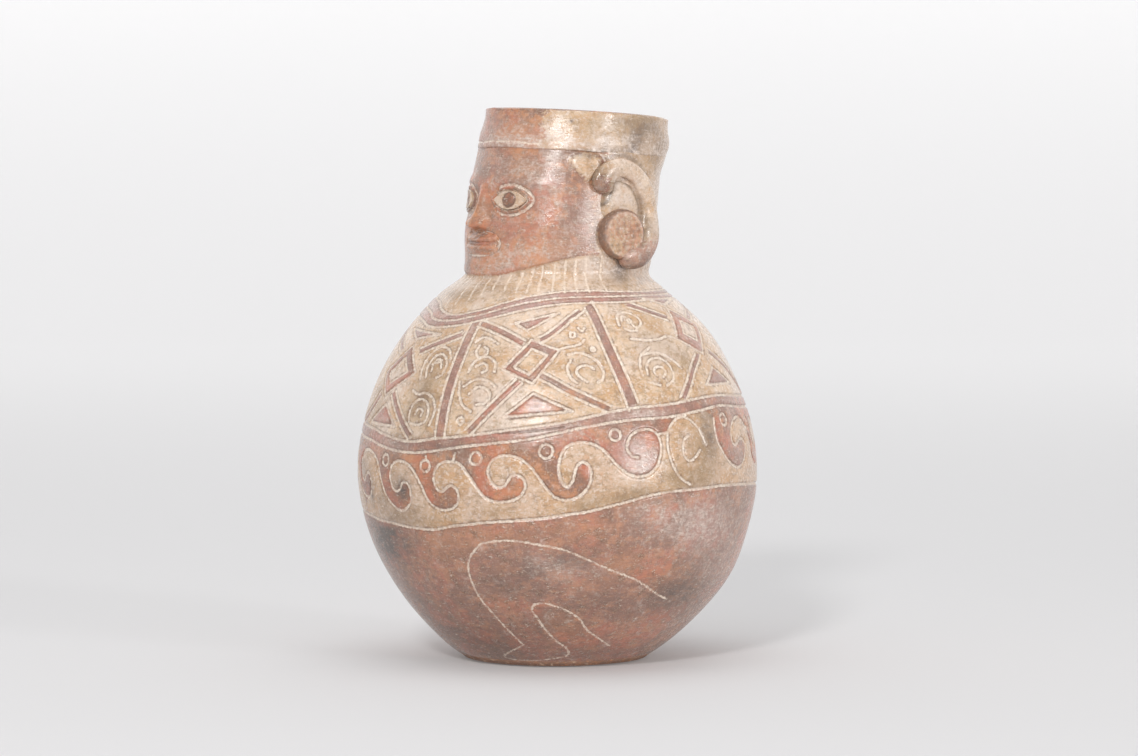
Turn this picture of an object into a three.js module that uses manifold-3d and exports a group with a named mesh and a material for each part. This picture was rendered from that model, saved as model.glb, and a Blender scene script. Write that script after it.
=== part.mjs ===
// A hand-built earthenware effigy jar: a globular body on a flat foot, with a wide neck shaped as a head.
// The clay members that a potter lutes together are modelled as separate solids, in millimetres, +Z up.
// The origin is the middle of the foot on the table. The face looks along -Y, its left ear is at +X.
import * as THREE from "three";
import { ConvexGeometry } from "three/addons/geometries/ConvexGeometry.js";
import { mergeVertices } from "three/addons/utils/BufferGeometryUtils.js";
import Module from "manifold-3d";

// Body
const BELLY_RADIUS = 87.2;
const BELLY_HEIGHT = 82;
const BASE_RADIUS = 37.2; // where the belly's curve would meet the table
const FOOT_ROUNDING = 3; // how far the flat underside stays inside that
const LOWER_FULLNESS = 1.86; // exponent of the curve below the belly: 2 is an ellipse
const UPPER_FULLNESS = 1.92; // the same for the shoulder
const BODY_WALL = 6;
const FLOOR_THICKNESS = 7;
const FOOT_SEAM_HEIGHT = 3; // outer edge of the joint between the foot and the bowl
const BOWL_SEAM_HEIGHT = 54; // outer edge of the joint between the bowl and the upper body
const SEAM_BEVEL = 4; // how much higher the joint is on the inside

// Neck, shaped as a head
const SHOULDER_HEIGHT = 164; // where the neck stands on the body
const HEAD_TALL = 73.5; // from there to the mouth
const NECK_RADIUS = 39.3;
const NECK_FLARE = 4.5; // how far the neck's foot spreads onto the shoulder
const NECK_FLARE_HEIGHT = 6;
const NECK_WALL = 5.5;
const NECK_LIP = 6; // height of the shoulder's opening under the neck
const HEAD_HALF_WIDTH = 39.4;
const HEAD_HALF_DEPTH = 40.2;
const HEAD_ROUNDING_HEIGHT = 20; // over which the round neck turns into the oval head
const RIM_TILT = 2.5; // how much higher the mouth is in front, and lower behind
const RIM_TAPER = 2.2; // how much the lip draws in
const RIM_ROUNDING = 0.5;
const HEAD_LEAN = 0.12; // sideways to upwards
const BAND_WIDTH = 17.5;
const BAND_THICKNESS_FRONT = 1;
const BAND_THICKNESS_BACK = 2.6;

// Face relief, on the usual thirds from hairline to chin
const CHIN_RISE = 5.5; // above the shoulder
const JAW_RISE = 9; // from the chin to under the ear
const FACE_PROUD = 1.8; // how far the face stands off the neck
const FACE_HALF_ANGLE = 80;
const BROW_PROUD = 0.9;
const SOCKET_DEPTH = 1.2;
const CHEEK_PROUD = 0.9;
const CHIN_PROUD = 1.2;
const SIDELOCK_PROUD = 1.3; // the flat lock of hair before each ear
const RIM_HEIGHT = SHOULDER_HEIGHT + HEAD_TALL; // the mouth's mean height
const HAIRLINE_HEIGHT = RIM_HEIGHT - BAND_WIDTH;
const CHIN_HEIGHT = SHOULDER_HEIGHT + CHIN_RISE;
const THIRD = (HAIRLINE_HEIGHT - CHIN_HEIGHT) / 3;
const BROW_HEIGHT = CHIN_HEIGHT + 2 * THIRD;
const EYE_HEIGHT = CHIN_HEIGHT + 1.75 * THIRD;
const NOSE_HEIGHT = CHIN_HEIGHT + THIRD;
const MOUTH_HEIGHT = CHIN_HEIGHT + (2 / 3) * THIRD;
const EYE_WIDTH = (2 * HEAD_HALF_WIDTH) / 5;

// Applied pieces
const SEAT_GAP = 0.3; // clay joint between an applied piece and what it lies on
const EYE_TALL = 7.6;
const EYE_PROUD = 2.2;
const NOSE_PROUD = 6;
const NOSE_BRIDGE_RADIUS = 3;
const NOSE_TIP_RADIUS = 3.7;
const NOSTRIL_RADIUS = 2.9;
const LIPS_WIDTH = 25;
const LIPS_TALL = 8;
const LIPS_THICKNESS = 6;
const LIPS_SLIT = 0.9;
const SPOOL_RADIUS = 10.9;
const SPOOL_PROUD = 4.2;
const SPOOL_CROWN = 0.8; // how far its face swells in the middle
const SPOOL_BEVEL = 0.9;
const SPOOL_TURN = 2; // towards the face
const SPOOL_RISE = 21.5; // of its middle above the shoulder
const SPOOL_ANGLE = 96; // round the head from the face
const SPOOL_HEIGHT = SHOULDER_HEIGHT + SPOOL_RISE;
const EAR_GAP = 6; // from the top of the ear's coil to the headband
const EAR_RISE = HAIRLINE_HEIGHT - EAR_GAP - SPOOL_HEIGHT;
const EAR_ROOT = 3; // half the coil's thickness at its root
const EAR_ARCH = 2.5; // over the top
const EAR_BACK = 3.4; // down the back
const EAR_LOBE = 4.6; // round the plug
const EAR_SPREAD = 1.3; // the coil's width over its thickness
const EAR_LOBE_SPREAD = 1.45; // the same at the lobe
const EAR_LOBE_DROP = 10.2; // of the lobe's middle below the plug's
const EAR_LIFT = 1; // of the coil's middle off the head
const EAR_LOBE_LIFT = 2.4; // the same at the lobe
const EAR_REACH = SPOOL_RADIUS + EAR_LOBE; // from the plug's middle to the lobe's
const EAR_HOLLOW_PROUD = 1.1; // of the pad of clay inside the coil
const EAR_TRAGUS = 3.9; // half the width of the lump in front of the hollow
const EAR_TRAGUS_ANGLE = 82; // round the head from the face

// Fineness
const BODY_SEGMENTS = 60;
const HEAD_SEGMENTS = 72;
const EAR_STEPS = 24;
const EAR_SIDES = 8;

const DEGREE = Math.PI / 180;
const clamp01 = (t) => Math.min(1, Math.max(0, t));
const smooth = (low, high, t) => THREE.MathUtils.smoothstep(t, low, high);
const bump = (t) => Math.exp(-t * t);

const wasm = await Module();
wasm.setup();

// A closed three.js geometry as a manifold-3d solid, and back.
function solidOf(geometry) {
  const bare = (geometry.index ? geometry.toNonIndexed() : geometry.clone()).deleteAttribute("uv");
  bare.deleteAttribute("normal");
  const merged = mergeVertices(bare, 1e-3);
  return new wasm.Manifold(
    new wasm.Mesh({
      numProp: 3,
      vertProperties: merged.attributes.position.array,
      triVerts: new Uint32Array(merged.index.array),
    }),
  );
}

function geometryOf(solid) {
  const mesh = solid.getMesh();
  const geometry = new THREE.BufferGeometry();
  geometry.setAttribute("position", new THREE.BufferAttribute(mesh.vertProperties, 3));
  geometry.setIndex(new THREE.BufferAttribute(mesh.triVerts, 1));
  geometry.computeVertexNormals();
  return geometry;
}

// Half a superellipse: the radius at a height, falling from `widest` at `middle` to `end` at `limit`.
function swell(height, widest, middle, end, limit, fullness) {
  const reach = Math.abs(limit - middle) / (1 - (end / widest) ** fullness) ** (1 / fullness);
  const share = clamp01(Math.abs(height - middle) / reach);
  return widest * (1 - share ** fullness) ** (1 / fullness);
}

function outerRadius(z) {
  return z < BELLY_HEIGHT
    ? swell(z, BELLY_RADIUS, BELLY_HEIGHT, BASE_RADIUS, 0, LOWER_FULLNESS)
    : swell(z, BELLY_RADIUS, BELLY_HEIGHT, NECK_RADIUS + NECK_FLARE, SHOULDER_HEIGHT, UPPER_FULLNESS);
}

// Where the inside wall rises from the floor. The wall slants there, so it is thicker measured level.
function floorRadius() {
  const slant = outerRadius(FLOOR_THICKNESS + 1) - outerRadius(FLOOR_THICKNESS);
  return outerRadius(FLOOR_THICKNESS) - BODY_WALL * Math.hypot(1, slant);
}

function innerRadius(z) {
  const widest = BELLY_RADIUS - BODY_WALL;
  return z < BELLY_HEIGHT
    ? swell(z, widest, BELLY_HEIGHT, floorRadius(), FLOOR_THICKNESS, LOWER_FULLNESS)
    : swell(z, widest, BELLY_HEIGHT, NECK_RADIUS - NECK_WALL, SHOULDER_HEIGHT - NECK_LIP, UPPER_FULLNESS);
}

// Points (radius, height) along a wall between two heights, both ends included.
function wallPoints(radius, from, to, steps) {
  const points = [];
  for (let i = 0; i <= steps; i += 1) {
    const z = from + ((to - from) * i) / steps;
    points.push(new THREE.Vector2(radius(z), z));
  }
  return points;
}

// Revolves a profile about +Z. `place` moves each point, given (angle, radius, height, index in the profile).
function revolve(profile, segments, place) {
  const geometry = new THREE.LatheGeometry(profile, segments);
  const position = geometry.attributes.position;
  for (let i = 0; i < position.count; i += 1) {
    const step = Math.floor(i / profile.length) % segments;
    const { x: radius, y: height } = profile[i % profile.length];
    const point = place((step * 2 * Math.PI) / segments, radius, height, i % profile.length);
    position.setXYZ(i, point.x, point.y, point.z);
  }
  return geometry;
}

function onAxis(angle, radius, height) {
  return new THREE.Vector3(radius * Math.sin(angle), -radius * Math.cos(angle), height);
}

// The foot, the bowl and the upper body share the points of their bevelled joints.
function footSeam() {
  return [
    new THREE.Vector2(outerRadius(FOOT_SEAM_HEIGHT), FOOT_SEAM_HEIGHT),
    new THREE.Vector2(floorRadius(), FLOOR_THICKNESS),
  ];
}

function bowlSeam() {
  const inside = BOWL_SEAM_HEIGHT + SEAM_BEVEL;
  return [
    new THREE.Vector2(outerRadius(BOWL_SEAM_HEIGHT), BOWL_SEAM_HEIGHT),
    new THREE.Vector2(innerRadius(inside), inside),
  ];
}

function makeFoot() {
  const [outside, inside] = footSeam();
  const flat = BASE_RADIUS - FOOT_ROUNDING;
  const profile = [
    new THREE.Vector2(0, 0),
    new THREE.Vector2(flat, 0),
    new THREE.Vector2(flat + (outside.x - flat) * 0.6, FOOT_SEAM_HEIGHT * 0.25),
    outside,
    inside,
    new THREE.Vector2(0, FLOOR_THICKNESS),
  ];
  return revolve(profile, BODY_SEGMENTS, onAxis);
}

function makeBowl() {
  const [seamOutside, seamInside] = bowlSeam();
  const outer = wallPoints(outerRadius, FOOT_SEAM_HEIGHT, seamOutside.y, 7);
  const inner = wallPoints(innerRadius, seamInside.y, FLOOR_THICKNESS, 5);
  return revolve([...outer, ...inner, outer[0]], BODY_SEGMENTS, onAxis);
}

function makeUpperBody() {
  const [seamOutside, seamInside] = bowlSeam();
  const opening = NECK_RADIUS - NECK_WALL;
  const outer = wallPoints(outerRadius, seamOutside.y, SHOULDER_HEIGHT, 12);
  const inner = wallPoints(innerRadius, SHOULDER_HEIGHT - NECK_LIP, seamInside.y, 6);
  const profile = [...outer, new THREE.Vector2(opening, SHOULDER_HEIGHT), ...inner, outer[0]];
  return revolve(profile, BODY_SEGMENTS, onAxis);
}

// How far up the neck a height is, from 0 at the shoulder to 1 at the rim.
const neckShare = (z) => clamp01((z - SHOULDER_HEIGHT) / (RIM_HEIGHT - SHOULDER_HEIGHT));

// Radius of the plain neck, without the face: round below, oval at the head, spread at the shoulder.
function neckRadius(angle, z) {
  const oval =
    1 / Math.hypot(Math.sin(angle) / HEAD_HALF_WIDTH, Math.cos(angle) / HEAD_HALF_DEPTH);
  const shape = smooth(SHOULDER_HEIGHT, SHOULDER_HEIGHT + HEAD_ROUNDING_HEIGHT, z);
  const spread = 1 - clamp01((z - SHOULDER_HEIGHT) / NECK_FLARE_HEIGHT);
  const taper = RIM_TAPER * smooth(RIM_HEIGHT - BAND_WIDTH, RIM_HEIGHT, z);
  return NECK_RADIUS + (oval - NECK_RADIUS) * shape + NECK_FLARE * spread ** 2 - taper;
}

// The modelled face: it stands off the neck above the jaw, with brow, sockets, cheeks and chin.
function faceRelief(angle, z) {
  const degrees = Math.abs(THREE.MathUtils.euclideanModulo(angle / DEGREE + 180, 360) - 180);
  const jaw = CHIN_HEIGHT - 2 + JAW_RISE * smooth(10, FACE_HALF_ANGLE, degrees);
  const side = 1 - smooth(FACE_HALF_ANGLE - 4, FACE_HALF_ANGLE + 4, degrees);
  const top = 1 - smooth(BROW_HEIGHT, HAIRLINE_HEIGHT + 3, z);
  const mask = FACE_PROUD * smooth(jaw - 2, jaw + 2, z) * side * top;
  const eyeAngle = Math.asin(EYE_WIDTH / HEAD_HALF_DEPTH) / DEGREE;
  const fromEye = degrees - eyeAngle;
  const brow = BROW_PROUD * bump((z - BROW_HEIGHT - 1.5) / 3.5) * (1 - smooth(38, 62, degrees));
  const socket = SOCKET_DEPTH * bump(Math.hypot(fromEye / 15, (z - EYE_HEIGHT) / 6));
  const cheek = CHEEK_PROUD * bump(Math.hypot((degrees - 40) / 20, (z - NOSE_HEIGHT) / 9));
  const chin = CHIN_PROUD * bump(Math.hypot(degrees / 16, (z - CHIN_HEIGHT - 3) / 5.5));
  const fromLock = Math.hypot((degrees - 68) / 14, (z - HAIRLINE_HEIGHT + 7) / 5);
  const sidelock = SIDELOCK_PROUD * (1 - smooth(0.7, 1.1, fromLock));
  return mask + brow - socket + cheek + chin + sidelock;
}

// A point of the leaning neck, whose mouth is higher in front.
function onNeck(angle, radius, z) {
  const share = neckShare(z);
  const front = (radius * Math.cos(angle)) / HEAD_HALF_DEPTH;
  return new THREE.Vector3(
    radius * Math.sin(angle),
    -radius * Math.cos(angle) + HEAD_LEAN * (z - SHOULDER_HEIGHT),
    z + share * RIM_TILT * front,
  );
}

const headRadius = (angle, z) => neckRadius(angle, z) + faceRelief(angle, z);

// The neck with its face, grown outwards by `extra`.
function makeHead(extra = 0) {
  const rows = 22;
  const shoulder = SHOULDER_HEIGHT;
  const top = RIM_HEIGHT - RIM_ROUNDING;
  const profile = [];
  for (let i = 0; i <= rows; i += 1) {
    profile.push(new THREE.Vector2(extra, shoulder + ((top - shoulder) * i) / rows));
  }
  const outerRows = profile.length;
  profile.push(new THREE.Vector2(-NECK_WALL / 2, RIM_HEIGHT));
  for (const share of [1, 0.6, 0.3, 0]) {
    profile.push(new THREE.Vector2(-NECK_WALL, shoulder + (top - shoulder) * share));
  }
  profile.push(profile[0]);
  const place = (angle, offset, z, index) => {
    const outside = index < outerRows || index === profile.length - 1;
    const onFoot = index >= profile.length - 2 || index === 0;
    const inside = Math.min(neckRadius(angle, z), neckRadius(angle, SHOULDER_HEIGHT + NECK_FLARE_HEIGHT));
    const round = onFoot && !outside ? NECK_RADIUS : inside;
    return onNeck(angle, outside ? headRadius(angle, z) + offset : round + offset, z);
  };
  return revolve(profile, HEAD_SEGMENTS, place);
}

// A strip of clay pressed round the top of the neck, thicker behind.
function makeHeadband() {
  const low = RIM_HEIGHT - BAND_WIDTH;
  const high = RIM_HEIGHT - RIM_ROUNDING;
  const rows = 4;
  const profile = [];
  for (let i = 0; i <= rows; i += 1) profile.push(new THREE.Vector2(1, low + ((high - low) * i) / rows));
  for (let i = rows; i >= 0; i -= 1) profile.push(new THREE.Vector2(0, low + ((high - low) * i) / rows));
  profile.push(profile[0]);
  const place = (angle, outside, z) => {
    const behind = (1 - Math.cos(angle)) / 2;
    const full = BAND_THICKNESS_FRONT + (BAND_THICKNESS_BACK - BAND_THICKNESS_FRONT) * behind;
    const thickness = full * (0.45 + 0.55 * smooth(0, 3, z - low));
    return onNeck(angle, headRadius(angle, z) + SEAT_GAP + outside * thickness, z);
  };
  return revolve(profile, HEAD_SEGMENTS, place);
}

// A place on the head: its point, the way out of the wall, along the wall to the left, and up.
function headPlace(degrees, z, lift = 0) {
  const angle = degrees * DEGREE;
  const step = 2 * DEGREE;
  const point = onNeck(angle, headRadius(angle, z), z);
  const along = onNeck(angle + step, neckRadius(angle, z), z)
    .sub(onNeck(angle - step, neckRadius(angle, z), z))
    .normalize();
  const up = new THREE.Vector3(0, HEAD_LEAN, 1).normalize();
  const out = along.clone().cross(up).normalize();
  return { point: point.addScaledVector(out, lift), along, up, out };
}

// Puts a geometry, made with +X along the wall, +Y up and +Z outwards, on the head.
function seat(geometry, degrees, z, lift = 0) {
  const { point, along, out } = headPlace(degrees, z, lift);
  const up = out.clone().cross(along);
  const frame = new THREE.Matrix4().makeBasis(along, up, out).setPosition(point);
  return geometry.applyMatrix4(frame);
}

const headWithGap = solidOf(makeHead(SEAT_GAP));

// Half the height of the almond opening between the lids, at a share of its half-width.
const lidHeight = (share) => (EYE_TALL / 2) * (1 - share * share);

function makeEyeball(side) {
  const angle = (side * Math.asin(EYE_WIDTH / HEAD_HALF_DEPTH)) / DEGREE;
  const steps = 8;
  const upper = [];
  for (let i = -steps; i < steps; i += 1) upper.push([i / steps, 1]);
  const lower = upper.map(([share]) => [-share, -1]);
  const outline = [...upper, ...lower].map(
    ([share, lid]) => new THREE.Vector2((share * EYE_WIDTH) / 2, lid * lidHeight(share)),
  );
  const almond = new THREE.ExtrudeGeometry(new THREE.Shape(outline), {
    depth: 4 * EYE_PROUD,
    bevelEnabled: false,
  });
  almond.translate(0, 0, -2 * EYE_PROUD);
  const ball = new THREE.SphereGeometry(1, 20, 12);
  ball.scale(EYE_WIDTH * 0.62, EYE_TALL * 0.8, EYE_PROUD);
  const dome = solidOf(seat(ball, angle, EYE_HEIGHT));
  return geometryOf(dome.intersect(solidOf(seat(almond, angle, EYE_HEIGHT))).subtract(headWithGap));
}

// The nose is the hull of four balls: bridge, tip and the two nostrils.
function noseSolid(extra) {
  const nostril = EYE_WIDTH / 2 - NOSTRIL_RADIUS;
  const balls = [
    [0, BROW_HEIGHT, NOSE_BRIDGE_RADIUS, -0.6],
    [0, NOSE_HEIGHT + NOSE_TIP_RADIUS, NOSE_TIP_RADIUS, NOSE_PROUD - NOSE_TIP_RADIUS],
    [nostril, NOSE_HEIGHT + NOSTRIL_RADIUS, NOSTRIL_RADIUS, 0.6],
    [-nostril, NOSE_HEIGHT + NOSTRIL_RADIUS, NOSTRIL_RADIUS, 0.6],
  ];
  const points = [];
  for (const [across, z, radius, lift] of balls) {
    const centre = headPlace(0, z, lift).point;
    const ball = new THREE.SphereGeometry(radius + extra, 14, 10);
    ball.translate(centre.x + across, centre.y, centre.z);
    const position = ball.attributes.position;
    for (let i = 0; i < position.count; i += 1) {
      points.push(new THREE.Vector3().fromBufferAttribute(position, i));
    }
  }
  return solidOf(new ConvexGeometry(points));
}

function makeNose() {
  return geometryOf(noseSolid(0).subtract(headWithGap));
}

// A pad of clay bent round the face and slit by the mouth's line.
function makeLips() {
  const pad = new THREE.SphereGeometry(0.5, 26, 14);
  pad.scale(LIPS_WIDTH, LIPS_TALL, LIPS_THICKNESS);
  const position = pad.attributes.position;
  for (let i = 0; i < position.count; i += 1) {
    const x = position.getX(i);
    const sag = HEAD_HALF_DEPTH - Math.sqrt(HEAD_HALF_DEPTH ** 2 - x ** 2);
    position.setZ(i, position.getZ(i) - sag);
  }
  const slit = new THREE.BoxGeometry(LIPS_WIDTH * 0.72, LIPS_SLIT, LIPS_THICKNESS);
  slit.translate(0, 0, LIPS_THICKNESS * 0.62);
  return geometryOf(
    solidOf(seat(pad, 0, MOUTH_HEIGHT))
      .subtract(solidOf(seat(slit, 0, MOUTH_HEIGHT)))
      .subtract(noseSolid(SEAT_GAP))
      .subtract(headWithGap),
  );
}

// The plug is a disc with a slightly swollen face, turned a little towards the front. Its root is as
// deep as the head's wall falls away under its edge.
function spoolGeometry(side, extra) {
  const face = SPOOL_PROUD + extra;
  const radius = SPOOL_RADIUS + extra;
  const fall = HEAD_HALF_WIDTH - Math.sqrt(HEAD_HALF_WIDTH ** 2 - radius ** 2);
  const root = fall + radius * Math.sin(SPOOL_TURN * DEGREE) + 1;
  const profile = [
    new THREE.Vector2(0, -root),
    new THREE.Vector2(radius, -root),
    new THREE.Vector2(radius, face - SPOOL_BEVEL),
    new THREE.Vector2(radius - SPOOL_BEVEL, face),
    new THREE.Vector2(radius / 2, face + SPOOL_CROWN * 0.75),
    new THREE.Vector2(0, face + SPOOL_CROWN),
  ];
  const disc = new THREE.LatheGeometry(profile, 36).rotateX(Math.PI / 2);
  return seat(disc.rotateY(-side * SPOOL_TURN * DEGREE), side * SPOOL_ANGLE, SPOOL_HEIGHT);
}

function makeSpool(side) {
  return geometryOf(solidOf(spoolGeometry(side, 0)).subtract(headWithGap));
}

// A point on the head by its place from the plug's middle: backwards along the wall, upwards, outwards.
function earPoint(side, along, above, lift) {
  const degrees = SPOOL_ANGLE + along / (HEAD_HALF_WIDTH * DEGREE);
  return headPlace(side * degrees, SPOOL_HEIGHT + above, lift).point;
}

// The ear is one coil: it rises from its root, arches back and runs down round the plug as the lobe.
// The arch's points are shares of the lobe's reach and of the ear's rise.
function earPath(side) {
  const arch = [
    [-0.8, 0.62],
    [-0.66, 0.87],
    [-0.25, 1],
    [0.3, 0.9],
    [0.74, 0.66],
    [0.98, 0.36],
  ];
  const points = arch.map(([along, above]) =>
    earPoint(side, along * EAR_REACH, above * EAR_RISE, EAR_LIFT),
  );
  for (const turn of [0, 22, 44, 66, 90]) {
    const along = EAR_REACH * Math.cos(turn * DEGREE);
    points.push(earPoint(side, along, -EAR_LOBE_DROP * Math.sin(turn * DEGREE), EAR_LOBE_LIFT));
  }
  return new THREE.CatmullRomCurve3(points, false, "centripetal");
}

// Half the coil's thickness at a share of its length, and how much wider than thick it is there.
function earSection(share) {
  const arch = EAR_ROOT + (EAR_ARCH - EAR_ROOT) * smooth(0.08, 0.24, share);
  const back = arch + (EAR_BACK - EAR_ARCH) * smooth(0.3, 0.52, share);
  const lobe = back + (EAR_LOBE - EAR_BACK) * smooth(0.52, 0.72, share);
  const ends = Math.min(share / 0.05, (1 - share) / 0.14);
  const spread = EAR_SPREAD + (EAR_LOBE_SPREAD - EAR_SPREAD) * smooth(0.5, 0.7, share);
  return { thickness: lobe * (0.35 + 0.65 * Math.sqrt(clamp01(ends))), spread };
}

// A closed coil of clay pressed on the head: its section's width lies along the wall.
function coil(curve, section, steps, sides) {
  const vertices = [];
  const faces = [];
  for (let i = 0; i <= steps; i += 1) {
    const centre = curve.getPointAt(i / steps);
    const ahead = curve.getTangentAt(i / steps);
    const out = new THREE.Vector3(centre.x, centre.y - HEAD_LEAN * (centre.z - SHOULDER_HEIGHT), 0);
    const across = ahead.clone().cross(out).normalize();
    out.crossVectors(across, ahead);
    const { thickness, spread } = section(i / steps);
    for (let j = 0; j < sides; j += 1) {
      const turn = (j * 2 * Math.PI) / sides;
      const point = centre
        .clone()
        .addScaledVector(out, thickness * Math.cos(turn))
        .addScaledVector(across, spread * thickness * Math.sin(turn));
      vertices.push(...point.toArray());
      if (i === steps) continue;
      const [a, b] = [i * sides + j, i * sides + ((j + 1) % sides)];
      faces.push(a, b, b + sides, a, b + sides, a + sides);
    }
  }
  const last = steps * sides;
  for (let j = 1; j < sides - 1; j += 1) faces.push(0, j + 1, j, last, last + j, last + j + 1);
  const geometry = new THREE.BufferGeometry();
  geometry.setAttribute("position", new THREE.Float32BufferAttribute(vertices, 3));
  geometry.setIndex(faces);
  return geometry;
}

// The clay inside the coil: a flat pad whose edge runs under the coil.
function earHollow(side) {
  const pad = new THREE.SphereGeometry(1, 16, 8);
  pad.scale(0.8 * EAR_REACH, 0.52 * EAR_RISE, NECK_WALL / 2);
  const degrees = SPOOL_ANGLE + (0.1 * EAR_REACH) / (HEAD_HALF_WIDTH * DEGREE);
  const lift = EAR_HOLLOW_PROUD - NECK_WALL / 2;
  return seat(pad, side * degrees, SPOOL_HEIGHT + 0.45 * EAR_RISE, lift);
}

// The lump of clay in front of the hollow.
function earTragus(side) {
  const lump = new THREE.SphereGeometry(1, 12, 6);
  lump.scale(EAR_TRAGUS, EAR_TRAGUS * 1.15, EAR_TRAGUS * 0.7);
  return seat(lump, side * EAR_TRAGUS_ANGLE, SPOOL_HEIGHT + 0.76 * EAR_RISE, EAR_LIFT / 2);
}

function makeEar(side) {
  const rim = solidOf(coil(earPath(side), earSection, EAR_STEPS, EAR_SIDES));
  const whole = rim.add(solidOf(earHollow(side))).add(solidOf(earTragus(side)));
  return geometryOf(whole.subtract(headWithGap).subtract(solidOf(spoolGeometry(side, SEAT_GAP))));
}

const slips = {
  red: new THREE.MeshStandardMaterial({ color: 0x9c5a3f, roughness: 0.5, metalness: 0 }),
  painted: new THREE.MeshStandardMaterial({ color: 0xb98a66, roughness: 0.5, metalness: 0 }),
  face: new THREE.MeshStandardMaterial({ color: 0xa8644a, roughness: 0.5, metalness: 0 }),
  cream: new THREE.MeshStandardMaterial({ color: 0xc9a888, roughness: 0.6, metalness: 0 }),
  brown: new THREE.MeshStandardMaterial({ color: 0x96604a, roughness: 0.65, metalness: 0 }),
};

const effigyVessel = new THREE.Group();

function add(name, geometry, slip) {
  const mesh = new THREE.Mesh(geometry, slips[slip]);
  mesh.name = name;
  effigyVessel.add(mesh);
}

add("foot_disc", makeFoot(), "red");
add("lower_bowl", makeBowl(), "red");
add("upper_body", makeUpperBody(), "painted");
add("head_neck", makeHead(), "face");
add("headband", makeHeadband(), "cream");
add("nose", makeNose(), "face");
add("lips", makeLips(), "face");
for (const [name, side] of [["left", 1], ["right", -1]]) {
  add(`${name}_eyeball`, makeEyeball(side), "face");
  add(`${name}_ear`, makeEar(side), "cream");
  add(`${name}_ear_spool`, makeSpool(side), "brown");
}

export default effigyVessel;
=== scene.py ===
import math

import bpy
import numpy as np
from mathutils import Matrix, Vector


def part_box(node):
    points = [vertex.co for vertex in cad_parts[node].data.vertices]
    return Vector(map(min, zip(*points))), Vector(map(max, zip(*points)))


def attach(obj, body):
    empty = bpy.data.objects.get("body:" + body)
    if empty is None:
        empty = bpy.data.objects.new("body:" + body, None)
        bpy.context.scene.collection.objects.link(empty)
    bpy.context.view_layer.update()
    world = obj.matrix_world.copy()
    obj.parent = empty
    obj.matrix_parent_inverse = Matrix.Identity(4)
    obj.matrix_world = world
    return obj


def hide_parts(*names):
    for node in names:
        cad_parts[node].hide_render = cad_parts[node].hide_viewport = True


# A slip-painted, incised effigy jar. Sizes are in millimetres until a mesh is made, then in metres.
# A place on the jar is given by its degrees round it, from the face towards the left ear, and its height.
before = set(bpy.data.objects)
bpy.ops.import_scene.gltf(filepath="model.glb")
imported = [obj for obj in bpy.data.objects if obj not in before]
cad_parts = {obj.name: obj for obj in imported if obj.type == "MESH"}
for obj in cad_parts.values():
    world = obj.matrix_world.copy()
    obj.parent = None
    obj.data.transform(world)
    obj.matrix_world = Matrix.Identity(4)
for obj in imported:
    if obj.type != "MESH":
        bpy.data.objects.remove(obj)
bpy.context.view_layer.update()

MM = 0.001
DEGREE = math.pi / 180
rng = np.random.default_rng(7)


def low_of(node):
    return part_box(node)[0] / MM


def high_of(node):
    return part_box(node)[1] / MM


# Sizes of the CAD solids that the pieces follow. The ear's coil is a little flatter and broader here.
BELLY_RADIUS = high_of("upper_body").x - 0.1
BELLY_HEIGHT = 82.0
BASE_RADIUS = 37.2
FOOT_FLAT = 34.2
LOWER_FULLNESS = 1.86
UPPER_FULLNESS = 1.92
BODY_WALL = 6.0
FLOOR_TOP = high_of("foot_disc").z
FOOT_SEAM = low_of("lower_bowl").z
BOWL_SEAM = low_of("upper_body").z
BOWL_SEAM_INSIDE = high_of("lower_bowl").z
SHOULDER = high_of("upper_body").z
RIM = 237.5
NECK_RADIUS = 39.3
NECK_FLARE = 4.5
NECK_FLARE_HEIGHT = 6.0
NECK_WALL = 5.5
NECK_LIP = 6.0
HALF_WIDTH = 39.4
HALF_DEPTH = 40.2
HEAD_ROUNDING = 20.0
RIM_TILT = 2.5
RIM_TAPER = 2.2
LEAN = 0.12
BAND_WIDTH = 17.5
HAIRLINE = RIM - BAND_WIDTH
CHIN = SHOULDER + 5.5
THIRD = (HAIRLINE - CHIN) / 3
BROW = CHIN + 2 * THIRD
EYE = CHIN + 1.75 * THIRD
NOSE = CHIN + THIRD
MOUTH = CHIN + THIRD * 2 / 3
EYE_WIDTH = 2 * HALF_WIDTH / 5
EYE_TALL = 7.6
EYE_ANGLE = math.asin(EYE_WIDTH / HALF_DEPTH) / DEGREE
FACE_EDGE = 80.0
SPOOL_RADIUS = 10.9
SPOOL_PROUD = 4.2
SPOOL_TURN = 2.0
SPOOL_ANGLE = 96.0
SPOOL_HEIGHT = SHOULDER + 21.5
EAR_RISE = HAIRLINE - 6 - SPOOL_HEIGHT
EAR_ROOT = 3.0
EAR_ARCH = 2.2
EAR_BACK = 3.4
EAR_LOBE = 4.6
EAR_SPREAD = 1.75
EAR_LOBE_SPREAD = 1.45
EAR_LOBE_DROP = 10.2
EAR_TRAGUS = 3.9
EAR_TRAGUS_ANGLE = 82.0
EAR_REACH = SPOOL_RADIUS + EAR_LOBE

# Fineness of the meshes
BODY_COLUMNS = 1080
HEAD_COLUMNS = 720
UPPER_STEP = 0.45
LOWER_STEP = 0.6
HEAD_STEP = 0.4
INNER_STEP = 6
BAND_ROWS = 60
FOOT_COLUMNS = 360
SPOOL_COLUMNS = 160
COIL_SIDES = 24
EAR_VOXEL = 0.38
EAR_ROUNDS = 3
SEAM_DEGREES = -32.0
REACH = 3.0  # how far from a line its distance is kept


def smooth(low, high, t):
    t = np.clip((t - low) / (high - low), 0, 1)
    return t * t * (3 - 2 * t)


def bump(t):
    return np.exp(-t * t)


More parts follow.
